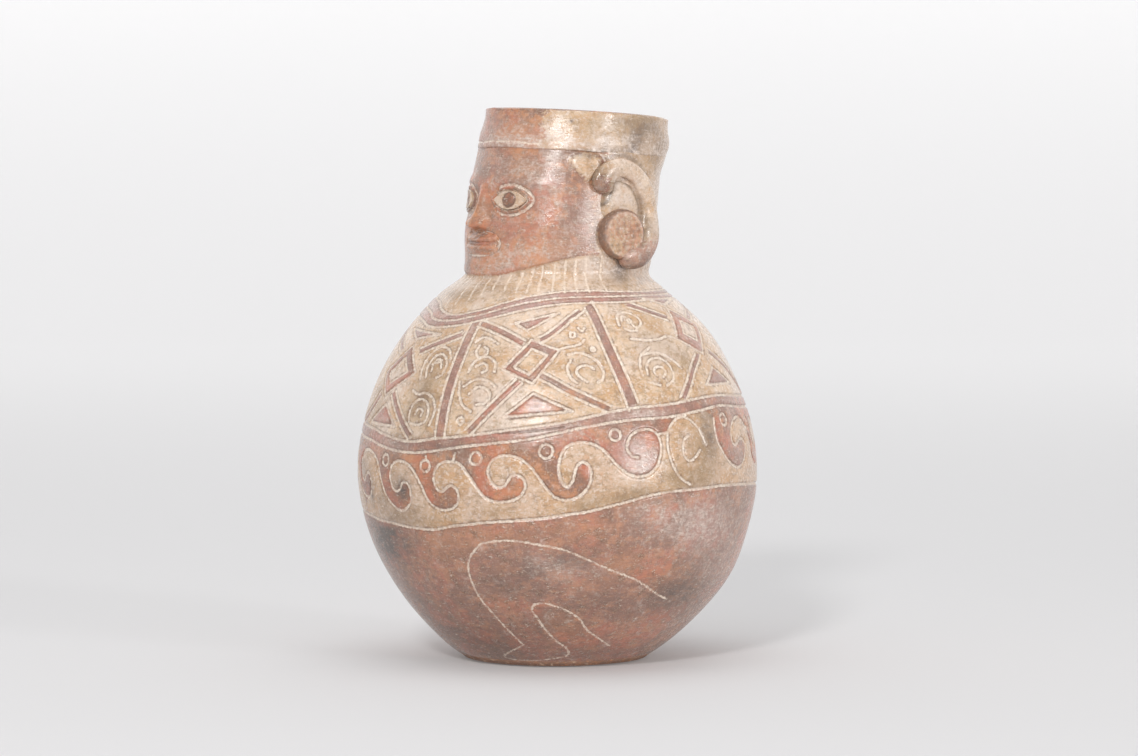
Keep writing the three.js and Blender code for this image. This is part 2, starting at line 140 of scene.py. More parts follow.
def from_angle(degrees, centre):
    """Degrees away from a place round the jar, from -180 to 180."""
    return (degrees - centre + 180) % 360 - 180


# Camera, lamps and stage, in metres and degrees
CAMERA_AZIMUTH = 58
CAMERA_DISTANCE = 1.9
CAMERA_HEIGHT = 0.235
CAMERA_LENS = 138.17
AIM_SIDE = 0.005
AIM_HEIGHT = 0.122
LAMP_AIM = 0.12
FLOOR_HALF = 30.0
SWEEP_START = 2.6
SWEEP_BEND = 0.9
SWEEP_STEPS = 12
BACKDROP_TOP = 4.0


def add_object(name, data):
    thing = bpy.data.objects.new(name, data)
    bpy.context.scene.collection.objects.link(thing)
    return thing


def look_along(thing, way):
    thing.rotation_mode = "QUATERNION"
    thing.rotation_quaternion = way.to_track_quat("-Z", "Y")


def make_camera():
    sine = math.sin(CAMERA_AZIMUTH * DEGREE)
    cosine = math.cos(CAMERA_AZIMUTH * DEGREE)
    camera = add_object("camera", bpy.data.cameras.new("camera"))
    camera.location = (CAMERA_DISTANCE * sine, -CAMERA_DISTANCE * cosine, CAMERA_HEIGHT)
    aim = Vector((AIM_SIDE * cosine, AIM_SIDE * sine, AIM_HEIGHT))
    look_along(camera, aim - camera.location)
    camera.data.sensor_width = 36
    camera.data.lens = CAMERA_LENS
    camera.data.clip_start = 0.05
    bpy.context.scene.camera = camera


def place_lamp(data, azimuth, elevation, distance):
    """Puts a lamp round the jar, facing it."""
    lamp = add_object(data.name, data)
    lamp.visible_camera = False
    a = azimuth * DEGREE
    e = elevation * DEGREE
    away = Vector((math.sin(a) * math.cos(e), -math.cos(a) * math.cos(e), math.sin(e)))
    lamp.location = Vector((0, 0, LAMP_AIM)) + away * distance
    look_along(lamp, -away)


def make_lamp(name, azimuth, elevation, distance, size, watts):
    data = bpy.data.lights.new(name, "AREA")
    data.shape = "RECTANGLE"
    data.size = size
    data.size_y = size
    data.energy = watts
    place_lamp(data, azimuth, elevation, distance)


def make_far_lamp(name, azimuth, elevation, spread, strength):
    """A lamp far away, which lights the whole floor evenly. Its spread is in degrees."""
    data = bpy.data.lights.new(name, "SUN")
    data.angle = spread * DEGREE
    data.energy = strength
    place_lamp(data, azimuth, elevation, 1.0)


def make_stage():
    """A pale floor that sweeps up behind the jar into the backdrop, and a pale world."""
    profile = [(-FLOOR_HALF, 0.0), (SWEEP_START, 0.0)]
    for step in range(1, SWEEP_STEPS + 1):
        turn = step / SWEEP_STEPS * math.pi / 2
        profile.append((SWEEP_START + SWEEP_BEND * math.sin(turn), SWEEP_BEND * (1 - math.cos(turn))))
    profile.append((SWEEP_START + SWEEP_BEND, BACKDROP_TOP))
    azimuth = CAMERA_AZIMUTH * DEGREE
    back = Vector((-math.sin(azimuth), math.cos(azimuth), 0))
    side = Vector((math.cos(azimuth), math.sin(azimuth), 0))
    points = []
    for across in (-FLOOR_HALF, FLOOR_HALF):
        for along, up in profile:
            points.append(back * along + side * across + Vector((0, 0, up)))
    count = len(profile)
    faces = [(i, i + 1, i + 1 + count, i + count) for i in range(count - 1)]
    mesh = bpy.data.meshes.new("floor")
    mesh.from_pydata(points, [], faces)
    mesh.shade_smooth()
    mesh.materials.append(paper_material(back))
    add_object("floor", mesh)
    world = bpy.data.worlds.new("studio")
    bpy.context.scene.world = world
    world.use_nodes = True
    sky = world.node_tree.nodes["Background"].inputs
    sky["Color"].default_value = (1, 1, 1, 1)
    sky["Strength"].default_value = WORLD_STRENGTH


def linear(red, green, blue):
    """A colour written with channels from 0 to 255 as seen on a screen."""
    values = [c / 255 for c in (red, green, blue)]
    return tuple(v / 12.92 if v <= 0.04045 else ((v + 0.055) / 1.055) ** 2.4 for v in values) + (1.0,)


# Colours, and how strongly the stage glows
RED = linear(190, 119, 93)
ORANGE = linear(203, 142, 101)
DULL_RED = linear(146, 110, 92)
PURPLE = linear(176, 138, 130)
BROWN = linear(119, 90, 73)
CREAM = linear(220, 192, 163)
OCHRE = linear(201, 163, 124)
PINKISH = linear(224, 206, 192)
OLIVE = linear(156, 128, 96)
TAN = linear(195, 149, 107)
RESIDUE = linear(244, 231, 216)
SCORED = linear(236, 218, 200)
CLOUD_AND_SHADE = linear(96, 84, 77)
HAZE_AND_SHEEN = linear(220, 203, 192)
DARK_LINE = linear(112, 88, 74)
RAW_CLAY = linear(140, 106, 88)
FLOOR_COLOUR = linear(204, 203, 204)
BACKDROP_COLOUR = linear(240, 240, 240)
FLOOR_GLOW = (0.13, 0.33)
FAR_GLOW = 0.19
WALL_GLOW = 0.1
WORLD_STRENGTH = 0.52


class Nodes:
    """A material's node tree with short calls. A value is a number, a colour or another node's socket."""

    def __init__(self, name):
        self.material = bpy.data.materials.new(name)
        self.material.use_nodes = True
        self.tree = self.material.node_tree
        self.shader = self.tree.nodes["Principled BSDF"]

    def connect(self, socket, value):
        if isinstance(value, bpy.types.NodeSocket):
            self.tree.links.new(value, socket)
        else:
            socket.default_value = value

    def shade(self, **values):
        """Sets the shader's sockets, each named with _ for a space."""
        for name, value in values.items():
            self.connect(self.shader.inputs[name.replace("_", " ")], value)

    def add(self, kind, inputs, output=0, **settings):
        node = self.tree.nodes.new(kind)
        for name, value in settings.items():
            setattr(node, name, value)
        for key, value in inputs.items():
            self.connect(node.inputs[key], value)
        return node.outputs[output]

    def where(self):
        return self.add("ShaderNodeTexCoord", {}, "Object")

    def attribute(self, name):
        return self.add("ShaderNodeAttribute", {}, "Fac", attribute_name=name)

    def math(self, operation, first, *others):
        for value in others:
            first = self.add("ShaderNodeMath", {0: first, 1: value}, operation=operation)
        return first

    def times(self, *values):
        return self.math("MULTIPLY", *values)

    def plus(self, *values):
        return self.math("ADD", *values)

    def ramp(self, value, low, high, start=0.0, end=1.0):
        inputs = {"Value": value, "From Min": low, "From Max": high, "To Min": start, "To Max": end}
        return self.add("ShaderNodeMapRange", inputs, interpolation_type="SMOOTHSTEP")

    def mix(self, share, a, b):
        node = self.tree.nodes.new("ShaderNodeMix")
        node.data_type = "RGBA"
        self.connect(node.inputs["Factor"], share)
        self.connect(node.inputs[6], a)
        self.connect(node.inputs[7], b)
        return node.outputs[2]

    def layers(self, colour, *coats):
        """A colour under coats, each given as its share and its own colour."""
        for share, coat in coats:
            colour = self.mix(share, colour, coat)
        return colour

    def noise(self, size, detail=3.0, roughness=0.55, stretch=(1, 1, 1), shift=0.0):
        """Clouds about `size` millimetres across, stretched along each axis."""
        scale = tuple(1 / (size * MM * s) for s in stretch)
        inputs = {"Vector": self.where(), "Scale": scale, "Location": (shift, shift * 2, shift * 3)}
        vector = self.add("ShaderNodeMapping", inputs)
        settings = {"Vector": vector, "Scale": 1.0, "Detail": detail, "Roughness": roughness}
        return self.add("ShaderNodeTexNoise", settings, "Fac")

    def bump(self, height, strength, depth):
        """Fine relief, `depth` millimetres deep."""
        return self.add("ShaderNodeBump", {"Height": height, "Strength": strength, "Distance": depth * MM})


def paper_material(back):
    """The floor's paper. Its glow grows behind the jar, far from it and up the backdrop."""
    n = Nodes("paper")
    place = n.tree.nodes.new("ShaderNodeSeparateXYZ")
    n.connect(place.inputs[0], n.where())
    x, y, height = place.outputs[:3]
    behind = n.plus(n.times(x, back.x), n.times(y, back.y))
    away = n.math("POWER", n.plus(n.times(x, x), n.times(y, y)), 0.5)
    far = n.ramp(away, 1.2, 5.0, FLOOR_GLOW[0], FAR_GLOW)
    sweep = n.math("MAXIMUM", n.ramp(behind, 0.2, SWEEP_START, *FLOOR_GLOW), far)
    n.shade(
        Base_Color=n.mix(n.ramp(height, 0.0, 1.0), FLOOR_COLOUR, BACKDROP_COLOUR),
        Emission_Color=BACKDROP_COLOUR,
        Emission_Strength=n.plus(sweep, n.ramp(height, 0.0, SWEEP_BEND, 0.0, WALL_GLOW)),
        Roughness=0.9,
        Specular_IOR_Level=0.1,
    )
    return n.material


def slip_material(name, gloss=0.18, drawn=3):
    """Slip-painted, burnished clay. The mesh says how far each place is from the lines and the cream."""
    n = Nodes(name)
    field = {key: n.attribute(key) for key in BLANK}
    broad = n.noise(26, 4)
    patch = n.noise(8, 5, 0.62, shift=3)
    blotch = n.noise(3.4, 5, 0.68, shift=5)
    mottle = n.noise(1.5, 3, 0.62, shift=6)
    grain = n.noise(0.7, 2, 0.6, shift=7)
    strokes = n.noise(1.6, 5, 0.7, stretch=(drawn, drawn, 1), shift=11)
    scuffs = n.noise(0.7, 4, 0.72, stretch=(drawn, drawn, 1), shift=12)
    nicks = n.noise(0.8, 4, 0.7, stretch=(1, 1, 2.5), shift=23)
    edge = n.noise(1.3, 4, 0.65, shift=13)
    rubbed = n.times(n.ramp(nicks, 0.52, 0.68), n.ramp(patch, 0.42, 0.62, 0.2, 1.0))
    red = n.layers(
        DULL_RED,
        (n.ramp(broad, 0.46, 0.58), RED),
        (n.ramp(patch, 0.5, 0.6, 0.0, 0.75), ORANGE),
        (n.times(field["warm"], n.ramp(blotch, 0.3, 0.6, 0.35, 1.0)), ORANGE),
        (n.times(field["purple"], n.ramp(patch, 0.36, 0.6, 0.6, 1.0)), PURPLE),
        (n.ramp(blotch, 0.44, 0.72, 0.0, 0.75), BROWN),
        (n.ramp(strokes, 0.46, 0.7, 0.0, 0.3), BROWN),
        (n.ramp(strokes, 0.34, 0.48, 0.35, 0.0), ORANGE),
        (n.ramp(mottle, 0.54, 0.68, 0.0, 0.3), PURPLE),
        (n.times(rubbed, n.ramp(field["purple"], 0.2, 0.9, 0.2, 0.7)), PINKISH),
    )
    cream = n.layers(
        CREAM,
        (n.ramp(patch, 0.4, 0.6), OCHRE),
        (n.ramp(broad, 0.46, 0.6, 0.0, 0.7), PINKISH),
        (n.times(field["warm"], n.ramp(blotch, 0.3, 0.6, 0.5, 1.0)), TAN),
        (n.ramp(strokes, 0.5, 0.66, 0.0, 0.6), OLIVE),
        (n.ramp(scuffs, 0.34, 0.48, 0.75, 0.0), PINKISH),
        (n.ramp(blotch, 0.5, 0.66, 0.0, 0.65), OLIVE),
        (n.ramp(mottle, 0.52, 0.66, 0.0, 0.65), PINKISH),
        (n.times(n.ramp(mottle, 0.3, 0.42, 0.4, 0.0), n.ramp(patch, 0.44, 0.56)), ORANGE),
        (n.times(field["olive"], n.ramp(blotch, 0.35, 0.62, 0.5, 1.0)), OLIVE),
    )
    ragged = n.plus(field["cream_gap"], n.ramp(edge, 0.2, 0.8, -0.5, 0.5))
    painted = n.mix(n.ramp(ragged, -0.2, 0.2), red, cream)

    worn = n.times(n.ramp(grain, 0.54, 0.64), n.ramp(blotch, 0.5, 0.64, 0.0, 0.4))
    grime = n.ramp(n.noise(5.5, 5, 0.7, shift=31), 0.52, 0.68)
    pale = n.ramp(n.noise(6.5, 5, 0.7, shift=37), 0.54, 0.68)
    # The cloud attribute holds fire clouds on the body and, on the head, ears and plugs, also painted shade
    # in creases, under and beside the plugs and on the plugs' sides.
    smoke_and_shade = n.times(field["cloud"], n.ramp(patch, 0.3, 0.6, 0.6, 1.15), n.ramp(strokes, 0.3, 0.6, 0.7, 1.1))
    # Pale coat over the paint; its attribute also holds painted highlights and sheen.
    film_and_sheen = n.times(
        field["haze_and_sheen"],
        n.ramp(blotch, 0.34, 0.62, 0.3, 1.0),
        n.ramp(mottle, 0.35, 0.62, 0.5, 1.0),
        n.ramp(scuffs, 0.34, 0.6, 0.35, 1.0),
    )
    specks = n.ramp(n.noise(0.7, 1, 0.5, shift=9), 0.67, 0.72)
    pits = n.times(n.ramp(n.noise(0.9, 3, 0.6, shift=17), 0.64, 0.72), n.ramp(blotch, 0.42, 0.56))
    weathered = n.layers(
        painted,
        (worn, CREAM),
        (n.times(grime, n.ramp(grain, 0.3, 0.6, 0.4, 1.0), 0.38), BROWN),
        (n.times(pale, n.ramp(nicks, 0.36, 0.6, 0.3, 1.0), 0.4), HAZE_AND_SHEEN),
        (smoke_and_shade, CLOUD_AND_SHADE),
        (film_and_sheen, HAZE_AND_SHEEN),
        (n.times(n.ramp(scuffs, 0.56, 0.68), n.ramp(blotch, 0.42, 0.6, 0.05, 0.8)), PINKISH),
        (n.times(specks, n.ramp(blotch, 0.5, 0.64), 0.6), RESIDUE),
        # Pits are darkened as painted shade in the small dents that the relief sinks there.
        (n.times(pits, 0.35), DARK_LINE),
    )

    wobble = n.ramp(edge, 0.25, 0.75, -0.32, 0.32)
    white, thin, dark = (n.plus(field[key], wobble) for key in GROOVES)
    kept = n.times(n.ramp(blotch, 0.38, 0.54, 0.45, 1.0), n.ramp(grain, 0.36, 0.52, 0.55, 1.0))
    chalk = n.times(n.ramp(white, 0.06, 0.6, 0.95, 0.0), kept)
    lined = n.layers(
        weathered,
        (n.ramp(dark, 0.08, 0.5, 0.7, 0.0), DARK_LINE),
        # Brown painted shade along each side of the scored lines.
        (n.times(n.ramp(white, 0.25, 2.2, 1.0, 0.0), n.ramp(blotch, 0.4, 0.58, 0.1, 0.7)), BROWN),
        (chalk, n.mix(n.ramp(mottle, 0.4, 0.6), SCORED, RESIDUE)),
        (n.times(n.ramp(thin, 0.02, 0.42, 0.95, 0.0), kept), SCORED),
    )

    rough = n.ramp(mottle, 0.35, 0.65, gloss - 0.04, gloss + 0.1)
    relief = ((strokes, 1.2), (scuffs, 0.6), (grain, 0.35), (blotch, 1.2), (pits, -0.8))
    n.shade(
        Base_Color=lined,
        Roughness=n.plus(rough, n.times(film_and_sheen, 0.12), n.times(chalk, 0.4)),
        Specular_IOR_Level=0.65,
        Normal=n.bump(n.plus(*(n.times(cloud, amount) for cloud, amount in relief)), 0.6, 0.15),
    )
    return n.material


def clay_material(name):
    """Unpainted clay, for the inside and the underside."""
    n = Nodes(name)
    blotch = n.noise(2.6, 4, 0.65, shift=3)
    grain = n.noise(0.7, 3, 0.6, shift=5)
    colour = n.layers(
        RAW_CLAY,
        (n.ramp(n.noise(9, 4, 0.6), 0.35, 0.65), DULL_RED),
        (n.ramp(blotch, 0.5, 0.7, 0.0, 0.6), ORANGE),
        (n.ramp(n.noise(3.4, 4, 0.6, shift=7), 0.56, 0.66, 0.0, 0.6), CREAM),
        (n.ramp(grain, 0.62, 0.7, 0.0, 0.6), RESIDUE),
        (n.ramp(n.noise(1.1, 3, 0.6, shift=9), 0.62, 0.7, 0.0, 0.6), DARK_LINE),
    )
    rough = n.ramp(blotch, 0.3, 0.7, 0.55, 0.75)
    relief = n.plus(n.times(blotch, 0.8), n.times(grain, 0.5))
    n.shade(Base_Color=colour, Roughness=rough, Normal=n.bump(relief, 0.5, 0.3))
    return n.material


# Outlines, as in the CAD solids
def swell(height, widest, middle, end, limit, fullness):
    reach = abs(limit - middle) / (1 - (end / widest) ** fullness) ** (1 / fullness)
    share = np.clip(np.abs(height - middle) / reach, 0, 1)
    return widest * (1 - share**fullness) ** (1 / fullness)


def body_radius(z):
    lower = swell(z, BELLY_RADIUS, BELLY_HEIGHT, BASE_RADIUS, 0, LOWER_FULLNESS)
    upper = swell(z, BELLY_RADIUS, BELLY_HEIGHT, NECK_RADIUS + NECK_FLARE, SHOULDER, UPPER_FULLNESS)
    return np.where(z < BELLY_HEIGHT, lower, upper)


def floor_radius():
    slant = body_radius(FLOOR_TOP + 1) - body_radius(FLOOR_TOP)
    return body_radius(FLOOR_TOP) - BODY_WALL * math.hypot(1, slant)


def inner_radius(z):
    widest = BELLY_RADIUS - BODY_WALL
    lower = swell(z, widest, BELLY_HEIGHT, floor_radius(), FLOOR_TOP, LOWER_FULLNESS)
    end = NECK_RADIUS - NECK_WALL
    upper = swell(z, widest, BELLY_HEIGHT, end, SHOULDER - NECK_LIP, UPPER_FULLNESS)
    return np.where(z < BELLY_HEIGHT, lower, upper)


# Where the hand-built wall swells or sinks: degrees, height, half-width in degrees, half-height, amount
HAND_FORMED = [
    (148, 36, 55, 17, 1.5),
    (-32, 2, 60, 9, 1.8),
    (-32, 161, 60, 8, 0.9),
    (148, 158, 60, 9, -1.6),
    (148, 120, 50, 22, -0.5),
    (60, 100, 25, 18, -0.25),
    (20, 60, 30, 16, -0.3),
    (230, 90, 35, 25, -0.5),
    (290, 130, 30, 20, -0.5),
]


def hand_formed(degrees, z):
    """How far the wall stands off the even outline."""
    total = np.zeros(np.broadcast(degrees, z).shape)
    for centre, height, width, tall, amount in HAND_FORMED:
        across = from_angle(degrees, centre) / width
        total = total + amount * bump(across) * bump((z - height) / tall)
    a = degrees * DEGREE
    total = total + 0.10 * np.sin(7 * a + z / 19) + 0.08 * np.sin(11 * a - z / 13)
    return total + 0.07 * np.sin(z / 5.5 + 3 * a) - 0.12


def neck_radius(degrees, z):
    a = degrees * DEGREE
    oval = 1 / np.hypot(np.sin(a) / HALF_WIDTH, np.cos(a) / HALF_DEPTH)
    shape = smooth(SHOULDER, SHOULDER + HEAD_ROUNDING, z)
    spread = 1 - np.clip((z - SHOULDER) / NECK_FLARE_HEIGHT, 0, 1)
    taper = RIM_TAPER * smooth(RIM - BAND_WIDTH, RIM, z)
    return NECK_RADIUS + (oval - NECK_RADIUS) * shape + NECK_FLARE * spread**2 - taper


def jaw_height(degrees):
    return CHIN - 2 + 9 * smooth(10, FACE_EDGE, np.abs(degrees))


def almond_gap(degrees, z, grow=0.0):
    """Signed distance to the opening between the lids, below 0 inside it."""
    across = (np.abs(degrees) - EYE_ANGLE) * DEGREE * HALF_DEPTH
    above = z - EYE
    half = EYE_WIDTH / 2
    tall = EYE_TALL / 2
    radius = (half**2 + tall**2) / (2 * tall)
    return np.hypot(across, np.abs(above) + radius - tall) - radius - grow


def lock_gap(away, z):
    """Below 1 inside the flap of hair in front of the ear, which narrows downwards."""
    narrow = smooth(HAIRLINE - 12, HAIRLINE - 3, z)
    width = 5 + 7 * narrow
    return np.hypot((away - 70 + 2 * narrow) / width, (z - HAIRLINE + 6) / 6.5)


def face_relief(degrees, z):
    """The modelled face, which stands off the neck above the jaw."""
    away = np.abs(from_angle(degrees, 0))
    jaw = jaw_height(away)
    side = 1 - smooth(FACE_EDGE - 24, FACE_EDGE + 4, away)
    top = 1 - smooth(BROW, HAIRLINE + 3, z)
    mask = 1.8 * smooth(jaw - 1, jaw + 1, z) * side * top
    arch = BROW + 2.2 + 1.2 * bump((away - 24) / 14)
    brow = (0.7 + 0.5 * bump((away - 24) / 12)) * bump((z - arch) / 2.6) * (1 - smooth(38, 54, away))
    socket = 1.3 * bump(np.hypot((away - EYE_ANGLE) / 14, (z - EYE) / 6))
    cheek = 0.9 * bump(np.hypot((away - 40) / 20, (z - NOSE) / 9))
    chin = 1.2 * bump(np.hypot(away / 16, (z - CHIN - 3) / 5.5))
    lock = 1.2 * (1 - smooth(0.6, 1.1, lock_gap(away, z)))
    lids = 1.25 * bump((almond_gap(away, z) - 1.2) / 0.95) * (away < 60)
    fold = 0.5 * bump((away * DEGREE * HALF_DEPTH - 7.6 - 0.45 * (NOSE - z)) / 1.1)
    fold = fold * smooth(CHIN + 8, CHIN + 13, z) * (1 - smooth(NOSE, NOSE + 4, z))
    return mask + brow - socket + cheek + chin + lock + lids - fold


def head_radius(degrees, z):
    return neck_radius(degrees, z) + face_relief(degrees, z)


def on_body(degrees, radius, z):
    a = degrees * DEGREE
    return np.stack(np.broadcast_arrays(radius * np.sin(a), -radius * np.cos(a), z), -1)


def on_neck(degrees, radius, z):
    a = degrees * DEGREE
    share = np.clip((z - SHOULDER) / (RIM - SHOULDER), 0, 1)
    back = -radius * np.cos(a) + LEAN * (z - SHOULDER)
    tilted = z + share * RIM_TILT * radius * np.cos(a) / HALF_DEPTH
    return np.stack(np.broadcast_arrays(radius * np.sin(a), back, tilted), -1)


class Skin:
    """A wall's outer face laid flat: columns go round it and rows climb it."""

    def __init__(self, columns, heights, radius):
        self.degrees = SEAM_DEGREES + np.arange(columns) * 360 / columns
        self.heights = np.asarray(heights, float)
        radii = radius(self.heights)
        steps = np.hypot(np.diff(self.heights), np.diff(radii))
        self.climb = np.concatenate([[0], np.cumsum(steps)])
        self.scale = radii * DEGREE
        self.shape = (len(self.heights), columns)

    def flat(self, points):
        """(degrees, height) points as (degrees, climb)."""
        points = np.asarray(points, float)
        return np.column_stack([points[:, 0], np.interp(points[:, 1], self.heights, self.climb)])

    def scale_at(self, climb):
        return np.interp(climb, self.climb, self.scale)

    def turns(self, line):
        """The line at each whole turn that brings it onto the skin."""
        low = math.floor((self.degrees[0] - 5 - line[:, 0].max()) / 360)
        high = math.ceil((self.degrees[-1] + 5 - line[:, 0].min()) / 360)
        return [line + (360 * turn, 0) for turn in range(low, high + 1)]

    def nearest(self, lines):
        """Distance to the nearest of the lines, at most REACH."""
        field = np.full(self.shape, REACH)
        for line in lines:
            for copy in self.turns(line):
                for start, end in zip(copy[:-1], copy[1:]):
                    self.stamp(field, start, end)
        return field

    def stamp(self, field, start, end):
        bottom = min(start[1], end[1]) - REACH
        top = max(start[1], end[1]) + REACH
        r0, r1 = np.searchsorted(self.climb, (bottom, top))
        if r0 >= r1:
            return
        pad = REACH / self.scale[r0:r1].min()
        c0, c1 = np.searchsorted(self.degrees, (min(start[0], end[0]) - pad, max(start[0], end[0]) + pad))
        if c0 >= c1:
            return
        scale = self.scale[r0:r1, None]
        x = (self.degrees[None, c0:c1] - start[0]) * scale
        y = self.climb[r0:r1, None] - start[1]
        dx = (end[0] - start[0]) * scale
        dy = end[1] - start[1]
        share = np.clip((x * dx + y * dy) / np.maximum(dx * dx + dy * dy, 1e-9), 0, 1)
        gap = np.hypot(x - share * dx, y - share * dy)
        np.minimum(field[r0:r1, c0:c1], gap, out=field[r0:r1, c0:c1])

    def inside(self, outline):
        """True where the skin lies inside a closed outline."""
        mask = np.zeros(self.shape, bool)
        for copy in self.turns(np.asarray(outline)):
            if copy[:, 0].min() > self.degrees[-1] or copy[:, 0].max() < self.degrees[0]:
                continue
            for start, end in zip(copy, np.roll(copy, -1, 0)):
                low, high = sorted((start, end), key=lambda p: p[1])
                r0, r1 = np.searchsorted(self.climb, (low[1], high[1]))
                if r0 >= r1:
                    continue
                share = (self.climb[r0:r1] - low[1]) / (high[1] - low[1])
                crossing = low[0] + share * (high[0] - low[0])
                mask[r0:r1] ^= self.degrees[None, :] < crossing[:, None]
        return mask

    def area(self, outlines):
        """Signed distance to the edge of the outlines' union, above 0 inside."""
        field = np.full(self.shape, -REACH)
        for outline in outlines:
            gap = self.nearest([closed(outline)])
            np.maximum(field, np.where(self.inside(outline), gap, -gap), out=field)
        return field

    def blobs(self, places):
        """Soft patches: degrees, height, half-width, half-height and amount."""
        field = np.zeros(self.shape)
        for degrees, height, width, tall, amount in places:
            climb = np.interp(height, self.heights, self.climb)
            x = from_angle(self.degrees[None, :], degrees) * self.scale_at(climb) / width
            y = (self.climb[:, None] - climb) / tall
            field += amount * bump(np.hypot(x, y))
        return np.clip(field, 0, 1)

    def patches(self, table):
        return {key: self.blobs(places) for key, places in table.items()}


def closed(outline):
    return np.vstack([outline, outline[:1]])


def curve(points, steps=5):
    """A smooth line through the points."""
    points = np.asarray(points, float)
    p = np.vstack([2 * points[:1] - points[1:2], points, 2 * points[-1:] - points[-2:-1]])
    t = np.arange(steps)[:, None] / steps
    parts = []
    for a, b, c, d in zip(p[:-3], p[1:-2], p[2:-1], p[3:]):
        cubic = (3 * b - a - 3 * c + d) * t**3
        parts.append(0.5 * (2 * b + (c - a) * t + (2 * a - 5 * b + 4 * c - d) * t**2 + cubic))
    return np.vstack([*parts, p[-2:-1]])


def round_line(points):
    """A line right round the jar, given once round."""
    points = np.asarray(points, float)
    wrapped = np.vstack([points[-2:] - (360, 0), points, points[:2] + (360, 0)])
    return curve(wrapped, 4)[4:-4]


def height_of(line, degrees):
    start = line[0, 0]
    return np.interp((np.asarray(degrees) - start) % 360 + start, line[:, 0], line[:, 1])


# How deep each kind of incised line is scored, and how far it spreads
GROOVES = {"white": (0.65, 0.36), "thin": (0.3, 0.16), "dark": (0.35, 0.2)}
STRIPE_GAP = 0.5


class Marks:
    """What is incised and painted on a skin."""

    def __init__(self, skin):
        self.skin = skin
        self.lines = {kind: [] for kind in GROOVES}
        self.painted = []

    def line(self, points, kind="white"):
        self.lines[kind].append(self.skin.flat(points))

    def ring(self, degrees, height, radius, scale=None):
        """A small circle. The scale is the wall's millimetres to the degree."""
        if scale is None:
            scale = self.skin.scale_at(np.interp(height, self.skin.heights, self.skin.climb))
        turn = np.linspace(0, 2 * math.pi, 13)
        self.line(np.column_stack([degrees + radius * np.cos(turn) / scale, height + radius * np.sin(turn)]))

    def shape(self, points, purple):
        """A painted shape in an incised outline."""
        outline = self.skin.flat(points)
        self.painted.append((outline, purple))
        self.lines["white"].append(closed(outline))

    def stripe(self, points, width, purple):
        """A painted stripe between two incised lines."""
        line = self.skin.flat(curve(points, 4))
        scale = self.skin.scale_at(line[:, 1])
        ahead = np.gradient(line * np.column_stack([scale, np.ones_like(scale)]), axis=0)
        ahead /= np.hypot(*ahead.T)[:, None]
        normal = np.column_stack([-ahead[:, 1] / scale, ahead[:, 0]])
        outline = np.vstack([line + normal * width / 2, (line - normal * width / 2)[::-1]])
        self.painted.append((outline, purple))
        for side in (1, -1):
            self.lines["white"].append(line + side * normal * (width / 2 + STRIPE_GAP))

    def fields(self):
        """Each kind's distance multiplied by itself, which stays even where columns cross a line."""
        return {kind: self.skin.nearest(lines) ** 2 for kind, lines in self.lines.items()}

    def painted_area(self):
        return self.skin.area([outline for outline, _ in self.painted])

    def purple_field(self):
        field = np.zeros(self.skin.shape)
        for outline, amount in self.painted:
            near = self.skin.area([outline]) > -1.2
            field[near] = np.maximum(field[near], amount)
        return field


# The three lines under the collar, the double band, and the floor of the waves, once round
COLLAR_LINE = [
    (-12, 156), (-5, 153.8), (0, 152.5), (6, 151.4), (12, 151.6), (18, 152.7), (24, 154), (30, 156),
    (36, 157.6), (42, 159), (50, 160.3), (60, 161.4), (74, 161.8), (90, 161.3), (110, 161), (140, 161),
    (180, 161.5), (220, 160), (260, 158), (300, 157), (330, 157.5),
]
COLLAR_MIDDLE = [
    (-12, 151.8), (-6, 149.9), (0, 148.9), (6, 148.8), (12, 149.3), (18, 150.5), (24, 151.8), (30, 153.6),
    (36, 155.2), (42, 156.6), (50, 157.9), (60, 159), (74, 159.3), (90, 159.3), (110, 159.4), (140, 159.2),
    (180, 159.6), (220, 157.5), (260, 154.8), (300, 153.5), (330, 153.5),
]
PANEL_TOP = [
    (-12, 148), (-6, 146.6), (0, 146), (6, 146.2), (12, 146.7), (18, 147.7), (24, 149.2), (30, 150.7),
    (36, 152.2), (42, 153.7), (50, 155.2), (60, 156.5), (74, 156.9), (90, 157), (110, 157.6), (140, 157.4),
    (180, 157.3), (220, 154.6), (260, 151.2), (300, 149.6), (330, 149.5),
]
BAND_TOP = [
    (-12, 102.3), (-6, 101), (0, 99.8), (6, 98.8), (12, 98.6), (20, 100.3), (27, 101.5), (34, 102.8),
    (42, 104.6), (50, 106.2), (60, 108.4), (71, 111.6), (82, 114), (94, 114.8), (103, 116.2), (114, 117.2),
    (124, 116.6), (140, 115), (180, 112), (220, 108.5), (260, 106), (300, 104.5), (330, 103.5),
]
BAND_BOTTOM = [
    (-12, 97.3), (-6, 96.1), (0, 94.9), (6, 94.2), (12, 94), (18, 94.8), (24, 96.2), (30, 97.6),
    (36, 98.8), (42, 99.9), (50, 101.4), (56, 103.3), (62, 105.2), (68, 106.8), (74, 108.1), (82, 109.2),
    (92, 109.5), (104, 111.3), (116, 112.9), (124, 112), (140, 110.3), (180, 107.4), (220, 104),
    (260, 101.4), (300, 99.7), (330, 98.6),
]
WAVE_FLOOR = [
    (-15, 64.5), (-8, 63.6), (0, 63), (8, 62.1), (15, 61.7), (21, 62.2), (26, 63.8), (32, 65), (38, 66.2),
    (46, 67.2), (54, 68.4), (60, 69.8), (66, 71), (72, 73), (78, 75), (85, 77.4), (93, 78.6), (104, 79.2),
    (118, 79), (140, 77), (180, 74), (220, 71), (260, 68.5), (300, 66.5), (330, 65.2),
]
